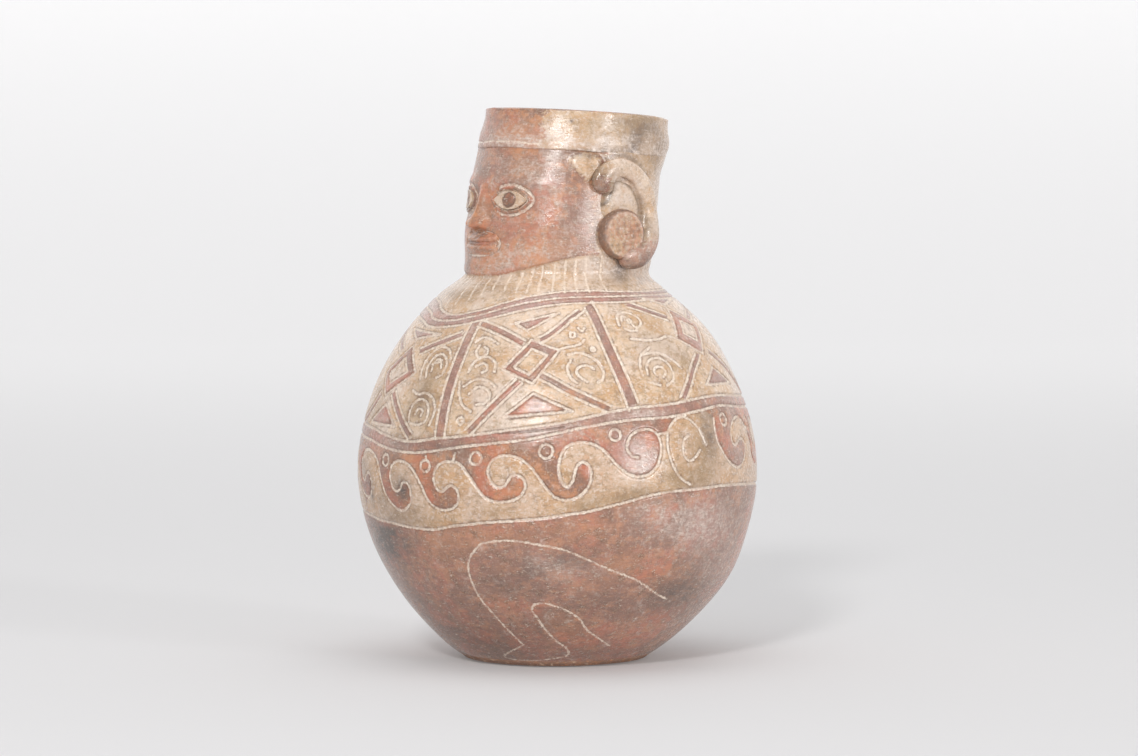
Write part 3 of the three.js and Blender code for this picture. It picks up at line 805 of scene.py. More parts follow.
# The crest of the running scroll where the photograph shows it, and one of its waves for the far side
SCROLL = [
    (-17, 73.6), (-13.3, 72.5), (-10.3, 74), (-9, 77.8), (-9.6, 81.5), (-11.5, 83.3), (-13.3, 82.2),
    (-14.5, 80), (-16, 79.6), (-17.6, 81.5), (-18.5, 85), (-18.3, 88.5), (-16.5, 91.5), (-13.5, 93),
    (-9.5, 92.3), (-6, 89.8), (-4, 86.5), (-2.6, 82), (-1, 77.5), (1, 73.6), (4, 70.3), (7, 68.9),
    (9.6, 70), (11.6, 73), (12.1, 76.5), (11.6, 79.5), (10.2, 81.2), (8.6, 80.6), (7.5, 78.3), (6, 77.1),
    (4.5, 77.7), (3.3, 80.2), (2.7, 84), (3.6, 88), (6, 89.9), (9.5, 89.7), (12.5, 87.5), (15, 83.5),
    (17, 79), (18.5, 75), (20.5, 72), (23.5, 70.7), (26.5, 71.3), (28.7, 73.5), (29.3, 77), (28.5, 80),
    (26.8, 81.2), (25.3, 80), (24.2, 78.6), (23, 78.6), (21.8, 80.3), (21, 83.5), (21.3, 87), (23, 90),
    (26, 91.2), (29, 90.8), (31, 88.5), (33, 85), (35, 81), (37, 77.5), (39.5, 75.5), (42.5, 75.1),
    (46, 76.2), (48.3, 78.8), (49, 82), (48.3, 85), (46.8, 86.4), (45.2, 86), (44.2, 84), (43.2, 81.8),
    (41.6, 81), (40, 82.2), (38.7, 85), (38.4, 89), (39.5, 92.3), (41.8, 94.2), (44.5, 94.5), (47.5, 93.3),
    (50, 90.5), (52, 87), (54, 82.8), (56, 79), (58, 76.8), (60.5, 76.1), (63.5, 77.3), (66, 80.5),
    (67.2, 84.5), (67.2, 88.5), (66.3, 91), (65, 91.9), (63.8, 91), (63, 88.5), (62.2, 84), (61, 81.8),
    (59.8, 82.2), (58.8, 85), (58.3, 90), (58.9, 94.5), (60.3, 98), (62.8, 99.8), (66, 100), (69, 98.7),
    (71.5, 96), (73.5, 92.5), (76, 88.8), (78.5, 86.3), (81.5, 85.5), (84.5, 86.5), (87, 90), (88.3, 94.5),
    (88.6, 99), (88, 102.5),
]
LOOSE_CURL = [
    (88, 102.5), (86, 104.6), (83, 104.9), (80, 103.3), (78.2, 100), (78, 96.5), (79.3, 94), (81, 93.5),
]
TURNED_SCROLL = [
    (98, 81.2), (95.5, 83.2), (93.3, 86.5), (91.8, 91), (91, 96), (91.2, 101.5), (92.5, 105.5),
    (95, 108.5), (98, 109.3), (101, 107.5), (103.3, 104), (104.8, 99.5), (105.5, 97),
]
TURNED_LOOP = [(99, 101.5), (97.2, 100), (96.3, 96.5), (96.6, 93), (98.3, 91), (100.5, 92.2), (102.8, 95.3)]
RIGHT_SCROLL = [
    (111, 108), (110.5, 103), (111, 98), (113, 93.5), (115.5, 89.5), (118.5, 87), (121.5, 86.3),
    (124.5, 87.5), (127, 91), (128, 94.5), (127, 97.2), (124.5, 97.9), (122.5, 96.8), (120.5, 95.8),
    (119, 97), (118.7, 100), (119.5, 103), (122, 106), (125.5, 107.4), (129, 105.5), (131.5, 101.5),
    (133.5, 96.5),
]
ONE_WAVE = [
    (-5, 12.5), (-3, 9.5), (0, 8.2), (3, 8.8), (5.2, 11), (5.8, 14.5), (5, 17.5), (3.3, 18.7), (1.8, 17.5),
    (0.7, 16.1), (-0.5, 16), (-1.7, 17.8), (-2.5, 21), (-2.2, 24.5), (-0.5, 27.5), (2.5, 28.8),
    (5.5, 28.3), (7.7, 26), (9.7, 22.5), (11.7, 18.5), (13.7, 15),
]
ONE_WAVE_TALL = 33.5
ONE_WAVE_PITCH = 19.6
FAR_WAVES = 10
FIRST_FAR_WAVE = 139.0
RINGS = [
    (-0.2, 89.8, 2.5), (17.8, 88.8, 2.6), (34.5, 93, 2.7), (54.8, 96.4, 2.9), (74.6, 103, 2.4),
    (116, 107, 2.5),
]
RING_SCALE = 1.5
LITTLE_STROKES = [[(17.9, 92.7), (18, 91.4)], [(27.9, 95), (27.6, 92.2)], [(88.4, 102.8), (91.2, 103.2)]]
# The leg incised on the lower body, and the outline of its foot
LEG = [
    (99, 31.2), (95, 33), (91, 35.5), (86, 39.3), (80, 43), (74, 46), (67, 50.5), (60, 54.8), (53, 57),
    (46, 58.5), (41, 58.5), (35.5, 57), (32.5, 53.5), (30.2, 49.5), (29.2, 44), (29.6, 37), (31, 31.5),
    (33.5, 26), (36.5, 20), (39.5, 15), (42, 11.3),
]
FOOT_OUTLINE = [
    (42, 11.3), (37, 8.9), (31.5, 6.8), (27.6, 4.9), (30, 3.8), (36, 3.3), (45, 3.4), (52, 4), (58, 4.9),
    (62.5, 5.8), (63.6, 7.6), (62, 10), (58, 13), (54.5, 17), (52, 21), (50.3, 25), (48.8, 27.8),
    (50, 30.5), (53, 31.2), (57, 30), (61, 28), (66, 24), (70, 18.5), (75, 15), (80, 12), (83.5, 10.3),
]
# The bars and panels of the shoulder. An arm has its line, its width and how purple it is painted.
BARS = [
    [(23.5, 149), (23, 138), (22.3, 120), (22.2, 101.5)],
    [(72.2, 156.2), (74, 150), (76, 140), (78.5, 128), (81.3, 114.4)],
    [(155, 157), (154, 140), (153, 115)],
    [(211, 155), (210.5, 135), (211, 110)],
    [(268, 150), (267.5, 130), (268, 106)],
    [(324, 149), (323.5, 130), (324, 104.5)],
]
LEFT_PANEL = {
    "diamond": [(-17.5, 126), (-5, 138), (4.9, 127), (-9, 116.4)],
    "hole": [(-13, 126), (-5.8, 132.8), (0.1, 127.1), (-8.8, 121.6)],
    "arms": [
        ([(19.5, 143.6), (14, 141.2), (8, 138.6), (2, 135.8)], 2.3, 0.9),
        ([(10.5, 100.8), (6, 106), (1, 112.3), (-3.5, 118)], 2.5, 0.8),
        ([(-32, 144), (-26, 141.2), (-20, 138.4), (-13, 135.4)], 2.3, 0.9),
        ([(-25, 104.5), (-20, 108), (-16, 112.3), (-13, 117)], 2.5, 0.8),
    ],
    "triangles": [
        ([(-6, 113), (-15, 104.8), (2.2, 104.2)], 0.7),
        ([(-6, 140.6), (-16, 144.6), (8.5, 143.2)], 0.9),
    ],
    "curls": [
        [(11, 125.6), (10, 129), (10.8, 133), (13.5, 135.2), (16.8, 134), (18.4, 130.6), (17.6, 127),
         (15.6, 125.4)],
        [(13.4, 131.6), (15.4, 131.8), (16.3, 129.6)],
        [(8.8, 106.6), (8.4, 110.5), (9.4, 114.6), (12.2, 116.4), (15.4, 114.6), (16.4, 111), (15.8, 107.4),
         (13, 105.8), (9.6, 106.2)],
        [(11, 110), (12, 112.4), (14, 111.6), (13.6, 109.6)],
        [(8.6, 124.5), (7.6, 129), (8.6, 134.5), (12.2, 138), (16.8, 137.2), (19.4, 133.5)],
        [(12.4, 128.2), (12.1, 131.2), (13.4, 133), (15.6, 132.6)],
        [(7, 119.6), (10, 118.4), (14, 118.9), (17.6, 116), (18.8, 111.4), (17.8, 106)],
    ],
    "dots": [],
}
MIDDLE_PANEL = {
    "diamond": [(39.9, 129.9), (48.6, 142), (58.5, 137.7), (50.2, 124.2)],
    "hole": [(43.6, 130.8), (49.1, 138.3), (54.5, 135.8), (48.9, 127.8)],
    "arms": [
        ([(25.2, 148.4), (30, 147.2), (36, 145.2), (42, 142.4), (45.6, 140.4)], 2.6, 0.3),
        ([(68, 153.8), (63, 150.6), (58, 146.4), (54, 143.3), (51.8, 142)], 2.0, 0.8),
        ([(31.5, 103.8), (35, 109.5), (39, 115.6), (43, 121.3), (45.8, 125)], 2.4, 0.4),
        ([(73.5, 113.6), (68, 117.2), (62, 121), (56, 125.4), (52.4, 127.6)], 2.4, 0.1),
    ],
    "triangles": [
        ([(50.6, 120.2), (42, 110.4), (62.5, 112.9)], 0.1),
        ([(41, 148.6), (58.5, 152.9), (46.3, 145.7)], 0.7),
    ],
    "curls": [
        [(57.8, 138), (60, 138.6), (63, 139.3), (66, 140.3), (67.8, 141.9)],
        [(61.5, 136), (66, 136.6), (70.5, 134), (72.8, 129.5), (72.4, 126), (70.8, 124.5)],
        [(69.8, 130.2), (67.8, 131.4), (65.2, 131), (64, 129), (65, 127), (66.2, 125.8), (67.3, 124.8)],
        [(66, 146.8), (67.2, 145.4), (68.3, 146.6)],
        [(27.2, 140.5), (29.5, 142.6), (33, 142), (36.5, 140.2)],
        [(28, 128.5), (29.6, 133), (33.5, 134.8), (36.8, 132.6), (37.2, 128.8)],
        [(25.6, 124.5), (26.6, 119), (28.5, 114.6), (31.5, 112.3)],
        [(30, 119.5), (32.6, 122.4), (35.8, 121.4), (37, 118.6), (35.6, 115.8), (33, 115.2)],
        [(29.4, 139.4), (28.8, 136.6), (30.4, 134.6), (32.8, 135.4), (33, 137.6), (31.6, 138.8)],
        [(30.4, 130.6), (32, 132.2), (34, 131.4), (34.4, 129.4), (32.8, 128.2)],
        [(27.4, 122.4), (31, 125.4), (35.4, 125.2), (38.6, 122.4)],
        [(62.6, 134), (61.2, 130.6), (62, 127), (64, 124.6)],
        [(62.4, 148.8), (63.6, 150.4), (66, 150.8)],
    ],
    "dots": [(63.6, 144, 1.1), (70.4, 138.1, 0.8), (28.6, 108.2, 1.5)],
}
RIGHT_PANEL = {
    "diamond": [(107.6, 141.4), (117, 153.8), (131, 146.5), (119, 134.6)],
    "hole": [(114, 143.3), (118, 148.6), (125.8, 145.6), (120.3, 140)],
    "arms": [
        ([(91.5, 156), (96, 154.8), (102, 152.6), (110, 150)], 2.3, 0.9),
        ([(99.8, 117), (104, 122.8), (109, 129), (115.5, 134.6)], 2.7, 0.7),
        ([(149, 155.5), (144, 154), (137, 151.5), (128, 149)], 2.3, 0.9),
        ([(146, 116.5), (140, 121.5), (134, 128), (124, 135.4)], 2.7, 0.7),
    ],
    "triangles": [
        ([(121, 128.8), (112.5, 121.8), (130, 121.6)], 0.9),
        ([(104, 158.2), (118, 155.4), (134, 157.2)], 0.9),
    ],
    "curls": [
        [(83, 147.6), (83.5, 151), (86, 152.7), (90, 152.4), (93, 150.8), (93.6, 148.8), (92, 147),
         (90, 146.6), (88.8, 148.2)],
        [(85, 149.4), (85.6, 151), (87.3, 151)],
        [(86, 142), (92, 141.3), (98, 141.6), (103, 142.6), (107.6, 141.6)],
        [(86.3, 127), (86.4, 131.6), (88, 135.4), (92.4, 138.3)],
        [(88, 135.4), (93, 136.2), (97, 135), (101, 132), (103, 129.4)],
        [(94, 126), (95.5, 128), (94.6, 130), (92.3, 130.3), (91, 128.6), (91.6, 126.8)],
        [(88, 124.2), (92, 122.8)],
        [(88.4, 127.4), (88.8, 131), (91, 133.4), (94.6, 133.8), (97.6, 131.6), (98.6, 128), (97.6, 124.6),
         (94.6, 122.6)],
        [(85, 146.2), (87.4, 145.2), (90, 145.4)],
    ],
    "dots": [(88.4, 149.2, 0.8)],
}
BAR_WIDTHS = (4.0, 4.9, 4.0, 4.0, 4.0, 4.0)
# The middle panel's left edge and width, and the bars that its copies on the far side lie between
PANEL_LEFT = 22.5
PANEL_WIDTH = 55.5
FAR_PANELS = ((155, 211), (211, 268), (268, 324))
COLLAR_TICKS = (
    -70, -63, -56, -50, -43.5, -37, -31, -25, -18.5, -12, -6, 0.4, 7.4, 14.1, 20.3, 28, 35.7, 41.9, 47.8,
    55.4, 61.8, 68.2, 74.7, 84.7,
)
TICK_END = 161.6
LEG_SIDES = ((1, 0), (-1, -8))  # each leg's side, and how far it is turned round the jar

# Patches of fire cloud, pale coat with painted highlights on the double band and on the waves, warm clay,
# greyed red and brown stain: degrees, height, half-width, half-height and amount
BODY_PATCHES = {
    "cloud": [
        (-4, 54, 18, 10, 1.0), (-28, 40, 20, 24, 0.5), (4, 26, 20, 16, 0.35), (4, 76, 12, 12, 0.35),
        (-14, 80, 7, 8, 0.6), (12, 97, 18, 4, 0.3), (4, 101, 12, 3, 0.25), (-16, 158, 10, 9, 0.25),
        (18, 12, 30, 12, 0.45), (42, 38, 10, 7, 0.4), (62, 50, 10, 5, 0.45), (50, 46, 6, 5, 0.35),
        (72, 30, 12, 9, 0.3), (100, 34, 14, 8, 0.45), (112, 30, 18, 12, 0.4), (114, 52, 14, 12, 0.2),
        (70, 6, 40, 6, 0.4), (50, 20, 10, 8, 0.25), (108, 103, 5, 12, 0.55), (45, 83, 3, 3, 0.3),
        (9, 78, 4, 5, 0.7), (-9, 75, 3, 5, 0.6), (13, 115, 7, 9, 0.3), (7.5, 108, 3, 5, 0.4),
        (26, 97, 10, 3, 0.35), (96, 66, 3, 4, 0.3), (200, 50, 40, 30, 0.4), (250, 90, 22, 26, 0.3),
    ],
    "haze_and_sheen": [
        (60, 106, 16, 4, 0.7), (-16, 157, 12, 10, 0.6), (2, 97, 14, 5, 0.4), (30, 92, 14, 6, 0.25),
        (40, 152, 12, 4, 0.3), (92, 66, 14, 7, 0.6), (104, 64, 18, 12, 0.7), (84, 71, 9, 4, 0.5),
        (118, 48, 18, 20, 0.35), (60, 46, 10, 5, 0.5), (52, 50, 5, 4, 0.4), (130, 90, 24, 40, 0.4),
        (142, 150, 30, 20, 0.6), (-20, 120, 14, 40, 0.1), (-24, 152, 20, 12, 0.5), (55, 6, 30, 6, 0.2),
        (124, 20, 30, 14, 0.3), (104, 160, 12, 5, 0.6), (50, 160, 20, 4, 0.4), (84, 111.6, 12, 3, 0.9),
        (52, 103.6, 12, 2.6, 0.5), (80, 92, 8, 9, 0.9), (34, 116, 12, 10, 0.25), (30, 148, 16, 8, 0.3),
        (107, 110, 1.4, 1.4, 1), (109, 115, 1.2, 1.2, 1), (20, 142, 14, 12, 0.3), (62, 122, 12, 6, 0.3),
        (53, 113, 6, 4, 0.5), (230, 60, 40, 40, 0.3),
    ],
    "warm": [
        (78, 77, 12, 5, 0.9), (2, 159, 10, 5, 0.8), (100, 98, 8, 8, 0.5), (34, 60, 26, 5, 1.0),
        (14, 88, 14, 8, 0.6), (44, 92, 10, 6, 0.6), (-6, 152, 8, 5, 0.6), (20, 54, 14, 8, 0.8),
        (78, 48, 10, 7, 0.9), (66, 64, 14, 5, 0.9), (60, 20, 12, 8, 0.6), (38, 30, 7, 9, 0.6),
        (42, 47, 6, 4, 0.5), (68, 38, 9, 5, 0.7), (95, 42, 10, 6, 0.6), (46, 80, 7, 5, 0.9),
        (30, 78, 6, 6, 0.5), (160, 40, 30, 12, 0.6), (280, 50, 30, 14, 0.6),
    ],
    "purple": [
        (-6, 84, 9, 14, 0.6), (-18, 156, 10, 10, 0.8), (78, 96, 10, 12, 0.9), (120, 95, 10, 14, 0.6),
        (60, 100, 8, 5, 0.4), (105, 62, 22, 16, 0.8), (62, 46, 14, 9, 0.7), (84, 22, 20, 14, 0.5),
        (-8, 56, 14, 16, 0.5), (120, 40, 16, 20, 0.6), (53, 114, 6, 5, 0.6), (-10, 130, 10, 14, 0.6),
        (118, 140, 12, 16, 0.8),
    ],
    "olive": [
        (-14, 110, 9, 16, 0.7), (13, 118, 8, 12, 0.8), (14, 132, 6, 8, 0.5), (32, 130, 9, 10, 0.35),
        (96, 138, 12, 14, 0.45), (68, 132, 8, 8, 0.35), (106, 132, 4, 5, 0.7), (104, 96, 8, 12, 0.9),
        (112, 108, 5, 6, 0.9), (100, 82, 12, 7, 0.8), (10, 66, 16, 4, 0.8), (-8, 160, 20, 4, 0.6),
        (16, 164, 14, 3, 0.6), (92, 167, 10, 3, 0.6), (78, 77, 10, 4, 0.9), (66, 74, 9, 4, 0.9),
        (92, 84, 8, 6, 0.6), (4, 158, 10, 5, 0.6), (30, 162, 14, 4, 0.4), (24, 76, 4, 5, 0.5),
        (40, 71, 10, 3, 0.4), (0, 74, 5, 5, 0.5), (82, 79, 8, 3, 0.5), (200, 130, 20, 20, 0.5),
        (250, 75, 20, 8, 0.5), (290, 135, 16, 14, 0.5),
    ],
}


def far_wave(trough, pitch, low, high):
    """One wave of the running scroll at a place round the jar."""
    points = []
    for across, above in ONE_WAVE:
        degrees = trough + across * pitch / ONE_WAVE_PITCH
        floor = float(height_of(low, degrees))
        room = float(height_of(high, degrees)) - floor
        points.append((degrees, floor + above * room / ONE_WAVE_TALL))
    return points


def moved_panel(panel, left, right, top, bottom):
    """The middle panel moved between two other bars of the far side."""

    def move(points):
        moved = []
        for degrees, height in points:
            away = left + (degrees - PANEL_LEFT) * (right - left) / PANEL_WIDTH
            low, high = (float(height_of(line, degrees)) for line in (bottom, top))
            new_low, new_high = (float(height_of(line, away)) for line in (bottom, top))
            moved.append((away, new_low + (height - low) / (high - low) * (new_high - new_low)))
        return moved

    return {
        "diamond": move(panel["diamond"]),
        "hole": move(panel["hole"]),
        "arms": [(move(points), width, purple) for points, width, purple in panel["arms"]],
        "triangles": [(move(points), purple) for points, purple in panel["triangles"]],
        "curls": [move(points) for points in panel["curls"]],
        "dots": [(*move([(degrees, height)])[0], radius) for degrees, height, radius in panel["dots"]],
    }


def draw_panel(marks, panel):
    """One panel of the shoulder. Gives the outline of the hole in its diamond."""
    for points, width, purple in panel["arms"]:
        marks.stripe(points, width, purple)
    for points, purple in panel["triangles"]:
        marks.shape(points, purple)
    marks.shape(panel["diamond"], 0.4)
    marks.line(closed(panel["hole"]))
    for points in panel["curls"]:
        marks.line(curve(points))
    for dot in panel["dots"]:
        marks.ring(*dot)
    return marks.skin.flat(panel["hole"])


def draw_waves(marks, floor, low):
    """The running scroll. Gives the outline of the cream between its crest and the waves' floor."""
    pitch = (360 + SCROLL[1][0] - FIRST_FAR_WAVE) / FAR_WAVES
    far = []
    for count in range(FAR_WAVES):
        trough = FIRST_FAR_WAVE + count * pitch
        far += far_wave(trough, pitch, floor, low)
        marks.ring(trough - 5.5, float(height_of(low, trough - 5.5)) - 7, 2.6)
    near = curve(SCROLL)
    right = curve(RIGHT_SCROLL + far + [(x + 360, y) for x, y in SCROLL[:2]])
    marks.line(near)
    marks.line(right)
    for points in (LOOSE_CURL, TURNED_SCROLL, TURNED_LOOP, *LITTLE_STROKES):
        marks.line(curve(points))
    for ring in RINGS:
        marks.ring(*ring, RING_SCALE)
    between = [(90.5, 103), (92.5, 105.5), (95, 108.5)] + [p for p in low if 98 < p[0] < 110]
    crest = np.vstack([near[1:], between, right])
    twice_round = np.vstack([floor, floor + (360, 0)])
    base = np.array([p for p in twice_round if crest[0, 0] < p[0] < crest[0, 0] + 360])
    return marks.skin.flat(np.vstack([crest, base[::-1]]))


def leg_line(points, side, turn):
    return [(side * degrees + turn, height) for degrees, height in points]


def body_marks(skin):
    """Everything drawn on the body: its lines, its painted shapes and the cream between them."""
    marks = Marks(skin)
    collar, middle, top = (round_line(points) for points in (COLLAR_LINE, COLLAR_MIDDLE, PANEL_TOP))
    high, low, floor = (round_line(points) for points in (BAND_TOP, BAND_BOTTOM, WAVE_FLOOR))
    for line in (collar, middle, top, high, low):
        marks.line(line)
    marks.line([p for p in floor if not 93 < p[0] < 110])
    wave_ground = skin.area([draw_waves(marks, floor, low)])
    for points, width in zip(BARS, BAR_WIDTHS):
        marks.stripe(points, width, 0.6)
    panels = [LEFT_PANEL, MIDDLE_PANEL, RIGHT_PANEL]
    panels += [moved_panel(MIDDLE_PANEL, left, right, top, high) for left, right in FAR_PANELS]
    holes = skin.area([draw_panel(marks, panel) for panel in panels])
    for degrees in COLLAR_TICKS:
        end = TICK_END - 7 * bump((degrees + 6) / 20)
        foot = degrees + 4.5 * bump(degrees / 25)
        marks.line([(degrees, SHOULDER), (foot, end + 0.5 * math.sin(degrees))], "thin")
    for side, turn in LEG_SIDES:
        for points in (LEG, FOOT_OUTLINE):
            marks.line(curve(leg_line(points, side, turn)), "thin")
    marks.line([(44, 109.6), (50, 110.8), (56, 111.9), (62.5, 112.8)], "dark")
    marks.line([(38, 103.6), (46, 104.2), (54, 105.2), (60, 106.4)], "dark")

    def over(line):
        heights = height_of(line, skin.degrees)
        return skin.climb[:, None] - np.interp(heights, skin.heights, skin.climb)[None, :]

    cream = np.minimum(np.minimum(over(high), -over(top)), -marks.painted_area())
    for zone in (holes, over(collar), wave_ground):
        cream = np.maximum(cream, zone)
    fields = marks.fields() | skin.patches(BODY_PATCHES)
    fields["cream_gap"] = np.clip(cream, -REACH, REACH)
    warmed = (over(floor) > 0) & (over(low) < 0) & (wave_ground > -0.3)
    fields["warm"][warmed] = np.maximum(fields["warm"][warmed], 0.55)
    purple = marks.purple_field()
    purple[np.minimum(over(top), -over(collar)) > -0.5] = 0.95
    purple[np.minimum(over(low), -over(high)) > -0.5] = 0.6
    purple[over(floor) < -0.5] = 0.3
    purple = np.maximum(purple, fields["purple"])
    for side, turn in LEG_SIDES:
        purple[skin.inside(skin.flat(leg_line([*LEG, *FOOT_OUTLINE[1:]], side, turn)))] = 0.4
    fields["purple"] = purple
    # A little darker all over below the waves' floor.
    fields["cloud"] = np.clip(fields["cloud"] + 0.1 * smooth(1.0, -1.0, over(floor)), 0, 1)
    return fields


# Meshes, and what each vertex keeps where nothing is drawn near it
BLANK = {"white": REACH**2, "thin": REACH**2, "dark": REACH**2, "cream_gap": -REACH}
BLANK |= {"purple": 0.0, "cloud": 0.0, "haze_and_sheen": 0.0, "warm": 0.0, "olive": 0.0}


def add_piece(name, mesh, node, slot, *materials):
    piece = add_object(name, mesh)
    for material in materials:
        mesh.materials.append(material)
    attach(piece, "root")
    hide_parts(node)


def set_fields(mesh, fields, shape):
    """Gives each vertex its values. Fields with fewer rows than the mesh fill its first rows."""
    for key, default in BLANK.items():
        values = np.full(shape, default, np.float32)
        if key in fields:
            values[: len(fields[key])] = fields[key]
        mesh.attributes.new(key, "FLOAT", "POINT").data.foreach_set("value", values.ravel())


def bake_layer(mesh, rows):
    """Unwraps the ring: its two halves, one above the other."""
    count, columns = rows.shape[:2]
    j = np.arange(columns)[None, :]
    lengths = np.linalg.norm(np.diff(rows[:, 0], axis=0, append=rows[:1, 0]), axis=1)
    v = np.concatenate([[0], np.cumsum(lengths)])
    v /= v[-1]
    half = columns // 2
    u0 = (np.broadcast_to(j, (count, columns)) % half) / half
    u1 = u0 + 1 / half
    part = np.broadcast_to(j >= half, (count, columns)) * 0.5
    v0, v1 = (np.broadcast_to(ends[:, None], (count, columns)) * 0.49 + part for ends in (v[:-1], v[1:]))
    uv = np.stack([u0, v0, u1, v0, u1, v1, u0, v1], -1)
    mesh.uv_layers.new(name="OFBake").data.foreach_set("uv", uv.ravel().astype(np.float32))


def grid_mesh(name, rows, fields, second_from=None, seams=()):
    """A ring whose section is closed: `rows` holds its points by row and column, and the last row meets the
    first. Rows from `second_from` on have the second material. The wall turns sharply at the `seams`."""
    count, columns = rows.shape[:2]
    i = np.arange(count)[:, None]
    j = np.arange(columns)[None, :]
    ahead = (j + 1) % columns
    above = (i + 1) % count
    quads = np.stack([i * columns + j, i * columns + ahead, above * columns + ahead, above * columns + j], -1)
    mesh = quad_mesh(name, rows.reshape(-1, 3) * MM, quads.reshape(-1, 4))
    set_fields(mesh, fields, (count, columns))
    bake_layer(mesh, rows)
    if second_from is not None:
        index = np.broadcast_to(i >= second_from, (count, columns)).astype(np.int32)
        mesh.polygons.foreach_set("material_index", index.ravel())
    ends = np.zeros(len(mesh.edges) * 2, np.int32)
    mesh.edges.foreach_get("vertices", ends)
    row = ends.reshape(-1, 2) // columns
    sharp = np.zeros(len(mesh.edges), bool)
    for seam in seams:
        sharp |= (row == seam).all(1)
    mesh.attributes.new("sharp_edge", "BOOLEAN", "EDGE").data.foreach_set("value", sharp)
    mesh.update()
    return mesh


def quad_mesh(name, vertices, quads):
    mesh = bpy.data.meshes.new(name)
    mesh.vertices.add(len(vertices))
    mesh.vertices.foreach_set("co", np.ascontiguousarray(vertices, np.float32).ravel())
    mesh.loops.add(len(quads) * 4)
    mesh.loops.foreach_set("vertex_index", quads.astype(np.int32).ravel())
    mesh.polygons.add(len(quads))
    mesh.polygons.foreach_set("loop_start", (np.arange(len(quads)) * 4).astype(np.int32))
    mesh.update(calc_edges=True)
    mesh.polygons.foreach_set("use_smooth", np.ones(len(quads), bool))
    mesh.validate()
    return mesh


def even_heights(radius, low, high, step):
    """Heights between two others, an even step apart along the wall."""
    fine = np.linspace(low, high, 4000)
    climb = np.concatenate([[0], np.cumsum(np.hypot(np.diff(fine), np.diff(radius(fine))))])
    count = max(2, int(round(climb[-1] / step)) + 1)
    return np.interp(np.linspace(0, climb[-1], count), climb, fine)


def groove(fields):
    """How deep the lines are scored into the wall."""
    return np.max([depth * np.exp(-fields[kind] / spread) for kind, (depth, spread) in GROOVES.items()], 0)


def make_body(slips):
    lower = even_heights(body_radius, FOOT_SEAM, BOWL_SEAM, LOWER_STEP)
    upper = even_heights(body_radius, BOWL_SEAM, SHOULDER, UPPER_STEP)
    heights = np.concatenate([lower, upper[1:]])
    skin = Skin(BODY_COLUMNS, heights, body_radius)
    fields = body_marks(skin)
    z = heights[:, None]
    degrees = skin.degrees[None, :]
    ends = smooth(SHOULDER + 0.5, SHOULDER - 3, z)
    radius = body_radius(z) + hand_formed(degrees, z) - groove(fields) * ends
    radius = np.minimum(radius, BELLY_RADIUS)
    outer = on_body(degrees, radius, z)
    split = len(lower)
    bowl_inner = even_heights(inner_radius, FLOOR_TOP, BOWL_SEAM_INSIDE, INNER_STEP)[::-1, None]
    bowl_rows = np.concatenate([outer[:split], on_body(degrees, inner_radius(bowl_inner), bowl_inner)])
    top_inner = even_heights(inner_radius, BOWL_SEAM_INSIDE, SHOULDER - NECK_LIP, INNER_STEP)[::-1, None]
    lip = on_body(degrees, NECK_RADIUS - NECK_WALL, np.full((1, 1), SHOULDER))
    inner = on_body(degrees, inner_radius(top_inner), top_inner)
    upper_rows = np.concatenate([outer[split - 1 :], lip, inner])
    bowl_fields = {key: values[:split] for key, values in fields.items()}
    upper_fields = {key: values[split - 1 :] for key, values in fields.items()}
    bowl = grid_mesh("lower_bowl_skin", bowl_rows, bowl_fields, split, (0, split - 1))
    add_piece("lower_bowl_skin", bowl, "lower_bowl", "red_slip", slips["body"], slips["raw"])
    rim = len(outer) - split
    body = grid_mesh("upper_body_skin", upper_rows, upper_fields, rim + 1, (0, rim))
    add_piece("upper_body_skin", body, "upper_body", "painted_slip", slips["body"], slips["raw"])


def make_foot(slips):
    """The flat underside, a little worn and uneven towards its edge."""
    degrees = SEAM_DEGREES + np.arange(FOOT_COLUMNS) * 360 / FOOT_COLUMNS
    outside = float(body_radius(FOOT_SEAM))
    edge = FOOT_FLAT + (outside - FOOT_FLAT) * 0.6
    profile = [(0.5, 0.35), (12, 0.3), (24, 0.2), (31, 0.05), (FOOT_FLAT, 0.0), (FOOT_FLAT + 1.4, 0.2)]
    profile += [(edge, 0.75), (edge + 1.0, 1.6), (outside, FOOT_SEAM), (floor_radius(), FLOOR_TOP)]
    profile += [(20, FLOOR_TOP), (0.5, FLOOR_TOP)]
    rows = []
    for radius, height in profile:
        drift = hand_formed(degrees, FOOT_SEAM) if 30 < radius and height < FLOOR_TOP else 0
        rows.append(on_body(degrees, radius + drift, np.full(FOOT_COLUMNS, float(height))))
    mesh = grid_mesh("foot_disc_skin", np.array(rows), {})
    add_piece("foot_disc_skin", mesh, "foot_disc", "red_slip", slips["raw"])
